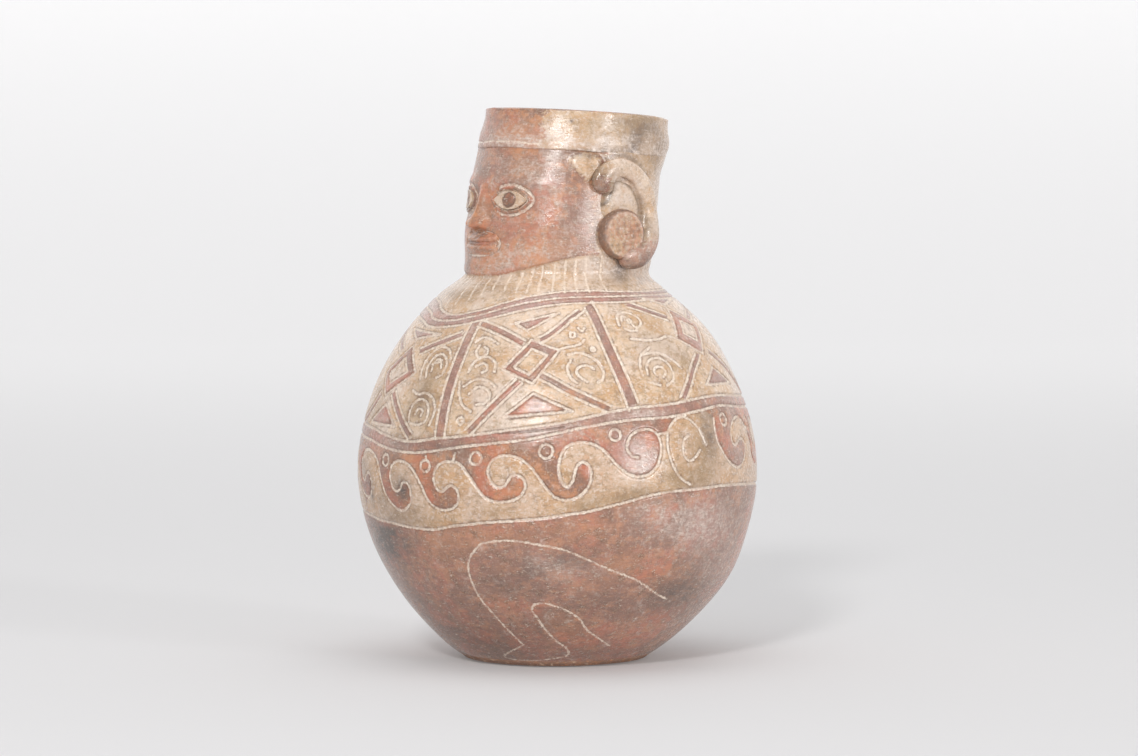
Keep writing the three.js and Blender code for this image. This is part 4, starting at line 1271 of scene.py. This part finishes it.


# Patches on the head, in the same terms. Pale coat patches on the face hold painted highlights too, and the
# dark cloud patches under and beside the ear plugs and the thin one under the band's edge are painted shade.
HEAD_PATCHES = {
    "haze_and_sheen": [
        (13, 172, 13, 7, 0.6), (20, 214, 10, 4, 0.4), (34, 176, 12, 5, 0.35), (50, 205, 8, 5, 0.4),
        (28, 202, 12, 14, 0.3), (12, 196, 8, 8, 0.3), (44, 182, 12, 8, 0.3), (20, 230, 10, 4, 0.2),
        (24, 176, 8, 4, 0.2), (46, 226, 5, 9, 0.8), (45, 216, 8, 4, 0.4), (34, 208, 5, 5, 0.35),
        (62, 176, 12, 8, 0.4), (-25, 226, 12, 14, 0.5), (10, 206, 7, 8, 0.3), (122, 172, 14, 12, 0.7),
        (135, 195, 12, 26, 0.45), (155, 210, 16, 40, 0.6), (52, 196, 8, 7, 0.5), (76, 192, 6, 9, 0.7),
        (58, 216, 6, 3, 0.5), (94, 205, 9, 8, 0.9), (84, 199, 6, 5, 0.8), (104, 223, 8, 4, 0.6),
        (78, 172, 8, 5, 0.5), (200, 200, 30, 40, 0.4), (92, 170, 10, 5, 0.7), (-60, 190, 16, 20, 0.4),
    ],
    "cloud": [
        (99, 170, 4, 6, 0.8), (84, 174, 5, 3, 0.4), (112, 232, 8, 5, 0.45), (124, 225, 4, 8, 0.45),
        (102, 228, 5, 5, 0.35), (100, 226, 5, 3, 0.3), (88, 234, 8, 2, 0.3), (56.5, 232.5, 0.8, 0.7, 0.8),
        (66, 218.6, 10, 1.6, 0.45), (79, 186, 2, 9, 0.45), (12, 184, 8, 3, 0.2), (133, 172, 2, 14, 0.25),
    ],
    "warm": [
        (118, 222, 8, 4, 0.7), (104, 226, 7, 4, 0.8), (120, 230, 6, 6, 0.8), (96, 222, 5, 3, 0.6),
        (70, 214, 8, 2.5, 0.8), (128, 178, 8, 8, 0.5), (20, 226, 9, 6, 1.0), (40, 178, 12, 6, 1.0),
        (8, 172, 9, 6, 1.0), (30, 212, 8, 4, 0.7), (60, 182, 8, 6, 0.5), (30, 192, 8, 4, 0.5),
        (74, 208, 4, 4, 0.8),
    ],
    "olive": [
        (66, 229, 14, 6, 0.5), (104, 230, 12, 9, 1.0), (118, 226, 10, 10, 1.0), (90, 166, 10, 3, 0.5),
        (86, 230, 10, 6, 0.4), (72, 211, 3, 3, 0.5), (98, 170, 8, 4, 0.5), (112, 190, 4, 14, 0.4),
        (8, 166, 20, 3, 0.4), (180, 225, 30, 12, 0.6), (230, 200, 20, 30, 0.4),
    ],
    "purple": [
        (-15, 228, 12, 12, 0.8), (70, 188, 9, 14, 0.6), (46, 206, 8, 6, 0.5), (10, 214, 8, 6, 0.4),
        (-50, 190, 16, 20, 0.5), (26, 187, 8, 5, 0.4),
    ],
}
PAINTED_SIDE = 0.06  # how slowly the paint fades towards the ear


def head_marks(skin):
    marks = Marks(skin)
    for side in (1, -1):
        for grow in (0.25, 2.5):
            marks.line(almond_line(side, grow))
    for degrees in COLLAR_TICKS:
        marks.line([(degrees, SHOULDER), (degrees, float(jaw_height(degrees)) - 0.6)], "thin")
    turn = np.linspace(0, 2 * math.pi, 40)
    marks.line(np.column_stack([18.8 * np.cos(turn), MOUTH + 5.0 * np.sin(turn)]))
    away = np.abs(from_angle(skin.degrees[None, :], 0))
    z = skin.heights[:, None]
    face = np.minimum((FACE_EDGE - away) * PAINTED_SIDE, z - jaw_height(away))
    face = np.minimum(face, (lock_gap(away, z) - 0.9) * 1.4)
    # A band of painted shade on the head round the outside of each ear, where the ear meets it: it darkens
    # the cloud field there.
    reach = EAR_REACH / (HALF_WIDTH * DEGREE)
    arch = [(1.34 * a * reach, 1.2 * b * EAR_RISE) for a, b in EAR_ARCH_POINTS[1:]]
    arch += [(1.34 * reach, 0), (1.2 * reach, -8), (0.6 * reach, -14)]
    beside = [curve([(side * (SPOOL_ANGLE + x), SPOOL_HEIGHT + y) for x, y in arch]) for side in (1, -1)]
    crease = bump(skin.nearest([skin.flat(line) for line in beside]) / 1.3)
    fields = marks.fields() | skin.patches(HEAD_PATCHES)
    fields["cream_gap"] = np.clip(-face, -REACH, REACH)
    fields["cloud"] = np.clip(fields["cloud"] + 0.5 * crease, 0, 1)
    return fields


def almond_line(side, grow):
    """The outline of the lids, grown outwards."""
    half = EYE_WIDTH / 2 + grow * 1.25
    tall = EYE_TALL / 2 + grow
    t = np.linspace(0, 2 * math.pi, 61)
    across = half * np.cos(t)
    above = tall * np.sin(t) * np.abs(np.sin(t)) ** 0.35
    scale = DEGREE * HALF_DEPTH
    return np.column_stack([side * (EYE_ANGLE + across / scale), EYE + above])


def make_head(slips):
    top = RIM - 0.5
    heights = even_heights(lambda z: np.full_like(z, NECK_RADIUS), SHOULDER, top, HEAD_STEP)
    skin = Skin(HEAD_COLUMNS, heights, lambda z: neck_radius(0.0, z))
    fields = head_marks(skin)
    z = heights[:, None]
    degrees = skin.degrees[None, :]
    a = degrees * DEGREE
    ends = smooth(SHOULDER - 0.5, SHOULDER + 3, z)
    uneven = 0.15 * np.sin(5 * a + z / 9) + 0.1 * np.sin(9 * a - z / 5)
    join = hand_formed(degrees, np.full((1, 1), SHOULDER))
    foot = join * (1 - smooth(SHOULDER, SHOULDER + 9, z))
    under_band = 0.5 * smooth(HAIRLINE, HAIRLINE + 2, z)
    roll = band_roll(degrees) * smooth(HAIRLINE - 9, HAIRLINE, z)
    radius = head_radius(degrees, z) + (uneven - groove(fields)) * ends + foot + roll - under_band
    outer = on_neck(degrees, radius, z)
    inner_z = np.linspace(top, SHOULDER, 14)[:, None]
    low = neck_radius(degrees, SHOULDER + NECK_FLARE_HEIGHT)
    inner_radius_here = np.minimum(neck_radius(degrees, inner_z), low) - NECK_WALL
    inner = on_neck(degrees, inner_radius_here, inner_z)
    lip = on_neck(degrees, neck_radius(degrees, RIM) - NECK_WALL / 2, np.full((1, 1), RIM))
    rows = np.concatenate([outer, lip, inner])
    mesh = grid_mesh("head_skin", rows, fields, len(outer) + 1, (0,))
    add_piece("head_skin", mesh, "head_neck", "face_slip", slips["face"], slips["raw"])


def band_roll(degrees):
    """How far the wall swells out under the band behind the ears."""
    return 1.5 * smooth(88, 138, np.abs(from_angle(degrees, 0)))


def make_band(slips):
    """The strip round the top of the neck. It is flush over the brow and stands proud behind."""
    low = HAIRLINE
    top = RIM - 0.5
    heights = np.linspace(low, top, BAND_ROWS)
    skin = Skin(HEAD_COLUMNS, heights, lambda z: neck_radius(0.0, z))
    degrees = skin.degrees[None, :]
    away = np.abs(from_angle(degrees, 0))
    z = heights[:, None]
    a = degrees * DEGREE
    full = 0.55 + 2.05 * smooth(84, 138, away)
    behind = smooth(78, 92, away)
    ledge = 0.4 * smooth(38, 48, away) * (1 - smooth(62, 80, away)) + band_roll(degrees)
    thickness = ledge + (full - ledge) * smooth(0, 8, z - low)
    uneven = 0.2 * np.sin(5 * a + z / 7) + 0.15 * np.sin(12 * a - z / 4) + 0.12 * np.sin(z / 2.3 + 4 * a)
    brow = face_relief(degrees, np.full((1, 1), low)) * (1 - smooth(0, 3, z - low))
    marks = Marks(skin)
    drawn = [(-60, low + 2.0), (-20, low + 2.3), (0, low + 2.4), (20, low + 2.4), (38, low + 2.1)]
    marks.line(drawn, "thin")
    face = (39 + 1.5 * np.sin(z / 1.7) - away) * 0.12
    fields = marks.fields() | skin.patches(HEAD_PATCHES)
    fields["cream_gap"] = np.clip(-face, -REACH, REACH)
    lift = 0.3 - 0.24 * behind * (1 - smooth(0, 4, z - low))
    radius = neck_radius(degrees, z) + brow + lift + thickness + uneven * smooth(0, 4, z - low)
    radius = radius - groove(fields)
    worn = rim_wear(skin.degrees)[None, :]
    outer = on_neck(degrees, radius, z)
    outer[..., 2] -= worn * smooth(top - 5, top, z)
    ragged = 0.8 + 0.4 * np.sin(3 * a + 1) + 0.25 * np.sin(8 * a) + 0.15 * np.sin(17 * a + 2)
    outer[..., 2] += ragged * (1 - behind) * (1 - smooth(0, 6, z - low))
    lip = on_neck(degrees, radius[-1:] - 0.8, np.full((1, 1), top + 0.3))
    lip[..., 2] -= worn
    inner_z = np.array([[top + 0.1], [top - 4], [low]])
    inner = on_neck(degrees, neck_radius(degrees, inner_z) - 0.4, inner_z)
    inner[:1, :, 2] -= worn
    mesh = grid_mesh("headband_skin", np.concatenate([outer, lip, inner]), fields)
    add_piece("headband_skin", mesh, "headband", "cream_slip", slips["face"])


def rim_wear(degrees):
    """How far the mouth's edge is worn or chipped away."""
    a = degrees * DEGREE
    wear = 0.18 + 0.12 * np.sin(9 * a) + 0.08 * np.sin(23 * a + 1)
    for centre, width, depth in ((112, 5, 0.5), (138, 9, 0.9), (150, 4, 0.5), (70, 3, 0.3), (250, 6, 0.6)):
        wear += depth * bump(from_angle(degrees, centre) / width)
    return wear


def patch_mesh(name, outer, inner, fields):
    """A closed patch of clay between two sheets of points, given by row and column."""
    count, columns = outer.shape[:2]
    vertices = np.concatenate([outer.reshape(-1, 3), inner.reshape(-1, 3)]) * MM
    shift = count * columns
    index = np.arange(shift).reshape(count, columns)
    under = index + shift
    front = np.stack([index[:-1, :-1], index[:-1, 1:], index[1:, 1:], index[1:, :-1]], -1).reshape(-1, 4)
    back = np.stack([under[:-1, :-1], under[1:, :-1], under[1:, 1:], under[:-1, 1:]], -1).reshape(-1, 4)
    rim = np.concatenate([index[0, :-1], index[:-1, -1], index[-1, :0:-1], index[:0:-1, 0]])
    turn = np.roll(rim, -1)
    wall = np.stack([rim + shift, turn + shift, turn, rim], -1)
    mesh = quad_mesh(name, vertices, np.concatenate([front, back, wall]))
    set_fields(mesh, {key: np.stack([values, values]) for key, values in fields.items()}, (2, count, columns))
    return mesh


def relief_patch(node, degrees, heights, lift, slips):
    """Clay pressed on the face. The lift is how far it stands off the head, below 0 where it ends."""
    d, z = np.meshgrid(degrees, heights)
    raised = lift(d, z)
    base = head_radius(d, z)
    # The highest parts of each patch are made paler: a painted highlight.
    fields = {"haze_and_sheen": 0.35 * bump((raised - 0.8) / 0.9), "warm": np.full(d.shape, 0.5)}
    mesh = patch_mesh(f"{node}_skin", on_neck(d, base + raised, z), on_neck(d, base - 1.0, z), fields)
    add_piece(f"{node}_skin", mesh, node, "face_slip", slips["face"])


def nose_lift(degrees, z):
    """A straight bridge that widens to the wings, with a nostril under each."""
    across = degrees * DEGREE * HALF_DEPTH
    share = np.clip((BROW - z) / (BROW - NOSE), 0, 1)
    height = 1.5 + 4.4 * share**1.2
    half = 2.6 + 1.2 * share
    ridge = height * bump(across / half) ** 0.75
    under = smooth(NOSE - 1.2, NOSE + 1.4, z)
    above = 1 - smooth(BROW - 2, BROW + 4, z)
    wing = 3.3 * bump(np.hypot((np.abs(across) - 4.5) / 2.4, (z - NOSE - 2.9) / 2.6))
    tip = 0.7 * bump(np.hypot(across / 3, (z - NOSE - 3.5) / 3))
    nostril = 1.5 * bump(np.hypot((np.abs(across) - 2.6) / 1.0, (z - NOSE - 0.2) / 0.9))
    ring = np.hypot((np.abs(across) - 4.5) / 2.9, (z - NOSE - 2.9) / 3.1)
    crease = 0.6 * bump((ring - 1) / 0.16) * (np.abs(across) > 4.5)
    return ridge * under * above + (wing + tip) * under - nostril - crease - 0.3


def lips_lift(degrees, z):
    """Two full lips with a dip under the nose and a parting line that rises at its ends."""
    across = degrees * DEGREE * HALF_DEPTH
    above = z - MOUTH - 0.35 * (across / 9) ** 2
    half = 11.5
    width = np.sqrt(np.clip(1 - (across / half) ** 2, 0, 1))
    dip = 0.35 * bump(across / 1.6)
    upper = 2.0 * bump((above - 1.75 + dip) / 1.35)
    lower = 2.3 * bump((above + 1.9) / 1.6)
    slit = 1.7 * bump(above / 0.45)
    return (upper + lower - slit) * width**0.8 - 0.3


def make_face(slips):
    nose_heights = np.linspace(NOSE - 2.4, BROW + 5, 130)
    lips_heights = np.linspace(MOUTH - 4.6, MOUTH + 4.6, 80)
    relief_patch("nose", np.linspace(-13, 13, 120), nose_heights, nose_lift, slips)
    relief_patch("lips", np.linspace(-17.5, 17.5, 150), lips_heights, lips_lift, slips)
    for word, side in (("left", 1), ("right", -1)):
        make_eye(word, side, slips)


def make_eye(word, side, slips):
    """The eyeball between the lids, with a scored pupil."""
    across = np.linspace(-1, 1, 64) * EYE_WIDTH / 2 * 0.985
    share = np.linspace(-1, 1, 40)
    lid = EYE_TALL / 2 * (1 - (across / (EYE_WIDTH / 2)) ** 2) + 0.05
    x, s = np.meshgrid(across, share)
    above = s * lid[None, :]
    degrees = side * EYE_ANGLE + x / (DEGREE * HALF_DEPTH)
    z = EYE + above
    dome = 2.2 * np.sqrt(np.clip(1 - (x / (EYE_WIDTH * 0.62)) ** 2 - (above / (EYE_TALL * 0.8)) ** 2, 0, 1))
    pupil = np.hypot(x, above)
    iris = np.minimum(np.abs(pupil - 2.9), REACH)
    lift = dome - 0.3 * bump(iris / 0.4) - 0.35 * (1 - smooth(0.8, 1.3, pupil))
    base = head_radius(degrees, z)
    outer = on_neck(degrees, base + lift, z)
    inner = on_neck(degrees, base - 0.8, z)
    fields = {
        "dark": (iris + 0.1) ** 2,
        "cloud": 0.55 * (1 - smooth(2.5, 2.9, pupil)),
        "warm": np.full(x.shape, 0.3),
        "cream_gap": np.where(pupil > 3.1, 0.5, -0.6),
    }
    mesh = patch_mesh(f"{word}_eyeball_skin", outer, inner, fields)
    add_piece(f"{word}_eyeball_skin", mesh, f"{word}_eyeball", "face_slip", slips["face"])


# Ears: places along the coil's arch, as shares of its reach and its rise
EAR_ARCH_POINTS = [(-0.8, 0.62), (-0.66, 0.87), (-0.25, 1), (0.3, 0.9), (0.74, 0.66), (0.98, 0.36)]


def head_place(degrees, z, lift=0.0):
    """A place on the head: its point, along the wall to the left, up, and out of the wall."""
    point = on_neck(degrees, head_radius(np.array(degrees), np.array(z)), np.array(z))
    step = 2.0
    ahead = on_neck(degrees + step, neck_radius(degrees + step, z), np.array(z))
    behind = on_neck(degrees - step, neck_radius(degrees - step, z), np.array(z))
    along = Vector(ahead - behind).normalized()
    up = Vector((0, LEAN, 1)).normalized()
    out = along.cross(up).normalized()
    return Vector(point) + out * lift, along, up, out


def ear_point(side, along, above, lift):
    degrees = SPOOL_ANGLE + along / (HALF_WIDTH * DEGREE)
    return head_place(side * degrees, SPOOL_HEIGHT + above, lift)[0]


def ear_centres(side):
    points = [ear_point(side, a * EAR_REACH, b * EAR_RISE, 1.5) for a, b in EAR_ARCH_POINTS]
    for turn in (0, 22, 44, 66, 90):
        along = EAR_REACH * math.cos(turn * DEGREE)
        points.append(ear_point(side, along, -EAR_LOBE_DROP * math.sin(turn * DEGREE), 2.4))
    return curve(np.array([list(p) for p in points]), 12)


def ear_section(share):
    """Half the coil's thickness at a share of its length, and its width over its thickness."""
    arch = EAR_ROOT + (EAR_ARCH - EAR_ROOT) * smooth(0.08, 0.24, share)
    back = arch + (EAR_BACK - EAR_ARCH) * smooth(0.3, 0.52, share)
    lobe = back + (EAR_LOBE - EAR_BACK) * smooth(0.52, 0.72, share)
    ends = np.minimum(share / 0.05, (1 - share) / 0.14)
    spread = EAR_SPREAD + (EAR_LOBE_SPREAD - EAR_SPREAD) * smooth(0.26, 0.6, share)
    return lobe * (0.35 + 0.65 * np.sqrt(np.clip(ends, 0, 1))), spread


def tube(centres, section, sides, name):
    """A closed coil of clay along a line on the head."""
    ahead = np.gradient(centres, axis=0)
    ahead /= np.linalg.norm(ahead, axis=1)[:, None]
    lengths = np.concatenate([[0], np.cumsum(np.linalg.norm(np.diff(centres, axis=0), axis=1))])
    thickness, spread = section(lengths / lengths[-1])
    x, y, z = centres.T
    out = np.column_stack([x, y - LEAN * (z - SHOULDER), np.zeros_like(x)])
    across = np.cross(ahead, out)
    across /= np.linalg.norm(across, axis=1)[:, None]
    out = np.cross(across, ahead)
    turn = np.arange(sides) * 2 * math.pi / sides
    rings = centres[:, None] + out[:, None] * (thickness[:, None] * np.cos(turn))[..., None]
    rings = rings + across[:, None] * ((spread * thickness)[:, None] * np.sin(turn))[..., None]
    mesh = bpy.data.meshes.new(name)
    count = len(centres)
    faces = []
    for i in range(count - 1):
        for j in range(sides):
            k = (j + 1) % sides
            faces.append((i * sides + j, i * sides + k, (i + 1) * sides + k, (i + 1) * sides + j))
    faces.append(tuple(range(sides))[::-1])
    faces.append(tuple((count - 1) * sides + j for j in range(sides)))
    mesh.from_pydata((rings.reshape(-1, 3) * MM).tolist(), [], faces)
    return mesh


def ball(place, size, name):
    """A flattened ball of clay on the head: along the wall, upwards and outwards."""
    point, along, up, out = place
    bpy.ops.mesh.primitive_uv_sphere_add(segments=48, ring_count=32, radius=1)
    piece = bpy.context.object
    mesh = piece.data
    mesh.name = name
    real_up = out.cross(along)
    turn = Matrix((along * size[0], real_up * size[1], out * size[2])).transposed().to_4x4()
    mesh.transform(Matrix.Translation(point) @ turn)
    mesh.transform(Matrix.Scale(MM, 4))
    bpy.data.objects.remove(piece)
    return mesh


def welded(name, meshes, voxel, rounds):
    """The meshes pressed into one lump of clay with soft joins."""
    pieces = [add_object(mesh.name, mesh) for mesh in meshes]
    whole = pieces[0]
    bpy.ops.object.select_all(action="DESELECT")
    for piece in pieces:
        piece.select_set(True)
    bpy.context.view_layer.objects.active = whole
    bpy.ops.object.join()
    remesh = whole.modifiers.new("remesh", "REMESH")
    remesh.mode = "VOXEL"
    remesh.voxel_size = voxel * MM
    soften = whole.modifiers.new("soften", "SMOOTH")
    soften.factor = 0.6
    soften.iterations = rounds
    mesh = bpy.data.meshes.new_from_object(whole.evaluated_get(bpy.context.evaluated_depsgraph_get()))
    bpy.data.objects.remove(whole)
    mesh.name = name
    mesh.polygons.foreach_set("use_smooth", np.ones(len(mesh.polygons), bool))
    return mesh


def vertex_points(mesh):
    points = np.zeros(len(mesh.vertices) * 3, np.float32)
    mesh.vertices.foreach_get("co", points)
    return points.reshape(-1, 3) / MM


def make_ear(word, side, slips):
    name = f"{word}_ear_skin"
    centres = ear_centres(side)
    meshes = [tube(centres, ear_section, COIL_SIDES, name)]
    pad_degrees = side * (SPOOL_ANGLE + 0.1 * EAR_REACH / (HALF_WIDTH * DEGREE))
    pad = head_place(pad_degrees, SPOOL_HEIGHT + 0.45 * EAR_RISE, 0.5 - NECK_WALL / 2)
    meshes.append(ball(pad, (0.8 * EAR_REACH, 0.52 * EAR_RISE, NECK_WALL / 2), "pad"))
    tragus = head_place(side * EAR_TRAGUS_ANGLE, SPOOL_HEIGHT + 0.76 * EAR_RISE, 0.9)
    meshes.append(ball(tragus, (EAR_TRAGUS, EAR_TRAGUS * 1.15, EAR_TRAGUS * 0.7), "tragus"))
    knob = head_place(side * (EAR_TRAGUS_ANGLE + 1.5), SPOOL_HEIGHT + 0.99 * EAR_RISE, 1.6)
    meshes.append(ball(knob, (2.4, 2.2, 2.0), "knob"))
    mesh = welded(name, meshes, EAR_VOXEL, EAR_ROUNDS)
    points = vertex_points(mesh)
    x, y, z = points.T
    degrees = side * np.degrees(np.arctan2(x, LEAN * (z - SHOULDER) - y))
    above = z - SPOOL_HEIGHT
    away = np.min(np.linalg.norm(points[:, None] - centres[None, ::3], axis=2), axis=1)
    # crease, outside and under darken the coil and lobe as painted shade: along the coil's inner edge, along
    # its outer edge at the back, and under the ear. rim lightens the coil's crest and lobe lightens the lobe
    # above that, as painted highlight.
    crease = bump((away - 5.7) / 0.8) * smooth(116, 106, degrees)
    lobe = smooth(-1, 9, 2 - above + 0.15 * (degrees - 112))
    lump = bump(np.hypot((degrees - 77) / 8, (above - 20) / 8.5))
    hollow = bump(np.hypot((degrees - 97) / 9, (above - 16) / 7))
    back = smooth(114, 124, degrees)
    rim = bump((away - 3.2) / 1.2) * (1 - lobe)
    under = smooth(-3, -12, above)
    outside = bump((away - 5.8) / 0.8) * smooth(108, 116, degrees) * (1 - lobe)
    film_and_sheen = 0.25 + 0.9 * hollow + 0.45 * lobe * (1 - under) + 0.2 * rim
    fields = {
        "cream_gap": np.clip(0.9 * (1 - 1.35 * lobe - 1.5 * lump), -0.6, 0.9),
        "haze_and_sheen": np.clip(film_and_sheen - lump - 0.6 * crease, 0, 1),
        "purple": np.clip(0.5 * lobe + 0.2 * back, 0, 1),
        "warm": np.clip(0.5 * lobe + 0.4 * under, 0, 1),
        "olive": np.clip(lump + 0.8 * crease + 0.6 * outside + 0.3 * back * (1 - lobe), 0, 1),
        "cloud": np.clip(0.45 * lump + 0.5 * crease + 0.4 * outside + 0.45 * under, 0, 1),
    }
    set_fields(mesh, fields, len(points))
    add_piece(name, mesh, f"{word}_ear", "cream_slip", slips["face"])


def make_spool(word, side, slips):
    """The plug in the lobe: a disc with a worn edge and a slightly swollen face."""
    fall = HALF_WIDTH - math.sqrt(HALF_WIDTH**2 - SPOOL_RADIUS**2)
    root = fall + SPOOL_RADIUS * math.sin(SPOOL_TURN * DEGREE) + 1
    radius = SPOOL_RADIUS
    edge = SPOOL_PROUD
    profile = [(0.15, -root), (radius - 0.2, -root), (radius - 0.2, -1), (radius, 1), (radius, edge - 1.4)]
    profile += [(radius - 0.15, edge - 0.8), (radius - 0.5, edge - 0.3), (radius - 1.0, edge - 0.02)]
    first_of_face = len(profile)
    for share in np.linspace(0.88, 0.02, 40):
        profile.append((radius * share, edge + 0.8 * (1 - share**2)))
    r, lift = (values[:, None] for values in np.array(profile).T)
    index = np.arange(len(profile))[:, None]
    turn = (np.arange(SPOOL_COLUMNS) * 2 * math.pi / SPOOL_COLUMNS)[None, :]
    place, along, _, out = head_place(side * SPOOL_ANGLE, SPOOL_HEIGHT)
    up = out.cross(along)
    swing = Matrix.Rotation(-side * SPOOL_TURN * DEGREE, 3, up)
    along = swing @ along
    out = swing @ out
    worn = 0.14 * np.sin(7 * turn) + 0.12 * np.sin(15 * turn + 1) + 0.07 * np.sin(31 * turn)
    across = r * np.cos(turn)
    above = r * np.sin(turn)
    pitted = np.zeros_like(across)
    for _ in range(16):
        way, pace, start = rng.uniform((0, 0.7, 0), (math.pi, 2.6, 2 * math.pi))
        pitted += 0.04 * np.sin(pace * (across * math.cos(way) + above * math.sin(way)) + start)
    r = r - np.abs(worn) * bump((r - radius) / 1.5) * (index > 2)
    lift = lift + pitted * (index >= first_of_face)
    directions = [np.array(list(axis))[None, None] for axis in (along, up, out)]
    rows = np.array(list(place))[None, None]
    for amount, direction in zip((r * np.cos(turn), r * np.sin(turn), lift), directions):
        rows = rows + amount[..., None] * direction
    face = smooth(6, 9, index)
    ring_wear = bump((r - radius * 0.94) / 1.1) * face
    forward = -across * side
    sunk = smooth(-0.1, 0.35, pitted)
    chipped = smooth(0.0, -0.35, pitted)
    ochre_spot = bump(np.hypot(forward - 5.5, above + 5) / 3)
    red_spot = bump(np.hypot(forward + 4.5, above - 2) / 2.4)
    # The plug's side wall is darkened as painted shade, and its face kept a little paler than the side as
    # painted light; the worn ring, the pale chips and the dark mottling on its face are its own colour.
    film_and_sheen = ring_wear + 0.15 * face + 0.7 * chipped * face
    side_shade_and_soot = 0.6 * (1 - face) * (index > 1) + 0.4 * sunk * face * (1 - ring_wear)
    fields = {
        "cream_gap": np.clip(-0.05 + 0.6 * ochre_spot - 0.6 * red_spot - 0.4 * (1 - face), -0.7, 0.7),
        "haze_and_sheen": np.clip(film_and_sheen - 0.4 * ochre_spot - 0.4 * red_spot, 0, 1),
        "warm": np.clip(0.8 - 0.3 * red_spot, 0, 1),
        "olive": np.clip(0.4 * (1 - red_spot) - 0.4 * ring_wear, 0, 1),
        "cloud": np.clip(side_shade_and_soot, 0, 1),
    }
    mesh = grid_mesh(f"{word}_ear_spool_skin", rows, fields)
    add_piece(f"{word}_ear_spool_skin", mesh, f"{word}_ear_spool", "brown_clay", slips["plug"])


make_camera()
make_stage()
make_lamp("key", azimuth=44, elevation=29, distance=3.2, size=0.4, watts=40)
make_far_lamp("side", azimuth=110, elevation=8, spread=8, strength=0.88)
make_lamp("top", azimuth=58, elevation=82, distance=2.6, size=2.2, watts=20)

slips = {
    "body": slip_material("painted_body"),
    "face": slip_material("painted_face"),
    "raw": clay_material("raw_clay"),
    "plug": slip_material("plug_clay", gloss=0.4, drawn=1),
}
make_body(slips)
make_foot(slips)
make_head(slips)
make_band(slips)
make_face(slips)
for ear_word, ear_side in (("left", 1), ("right", -1)):
    make_ear(ear_word, ear_side, slips)
    make_spool(ear_word, ear_side, slips)

bpy.context.scene.view_settings.view_transform = "Standard"
bpy.context.view_layer.update()
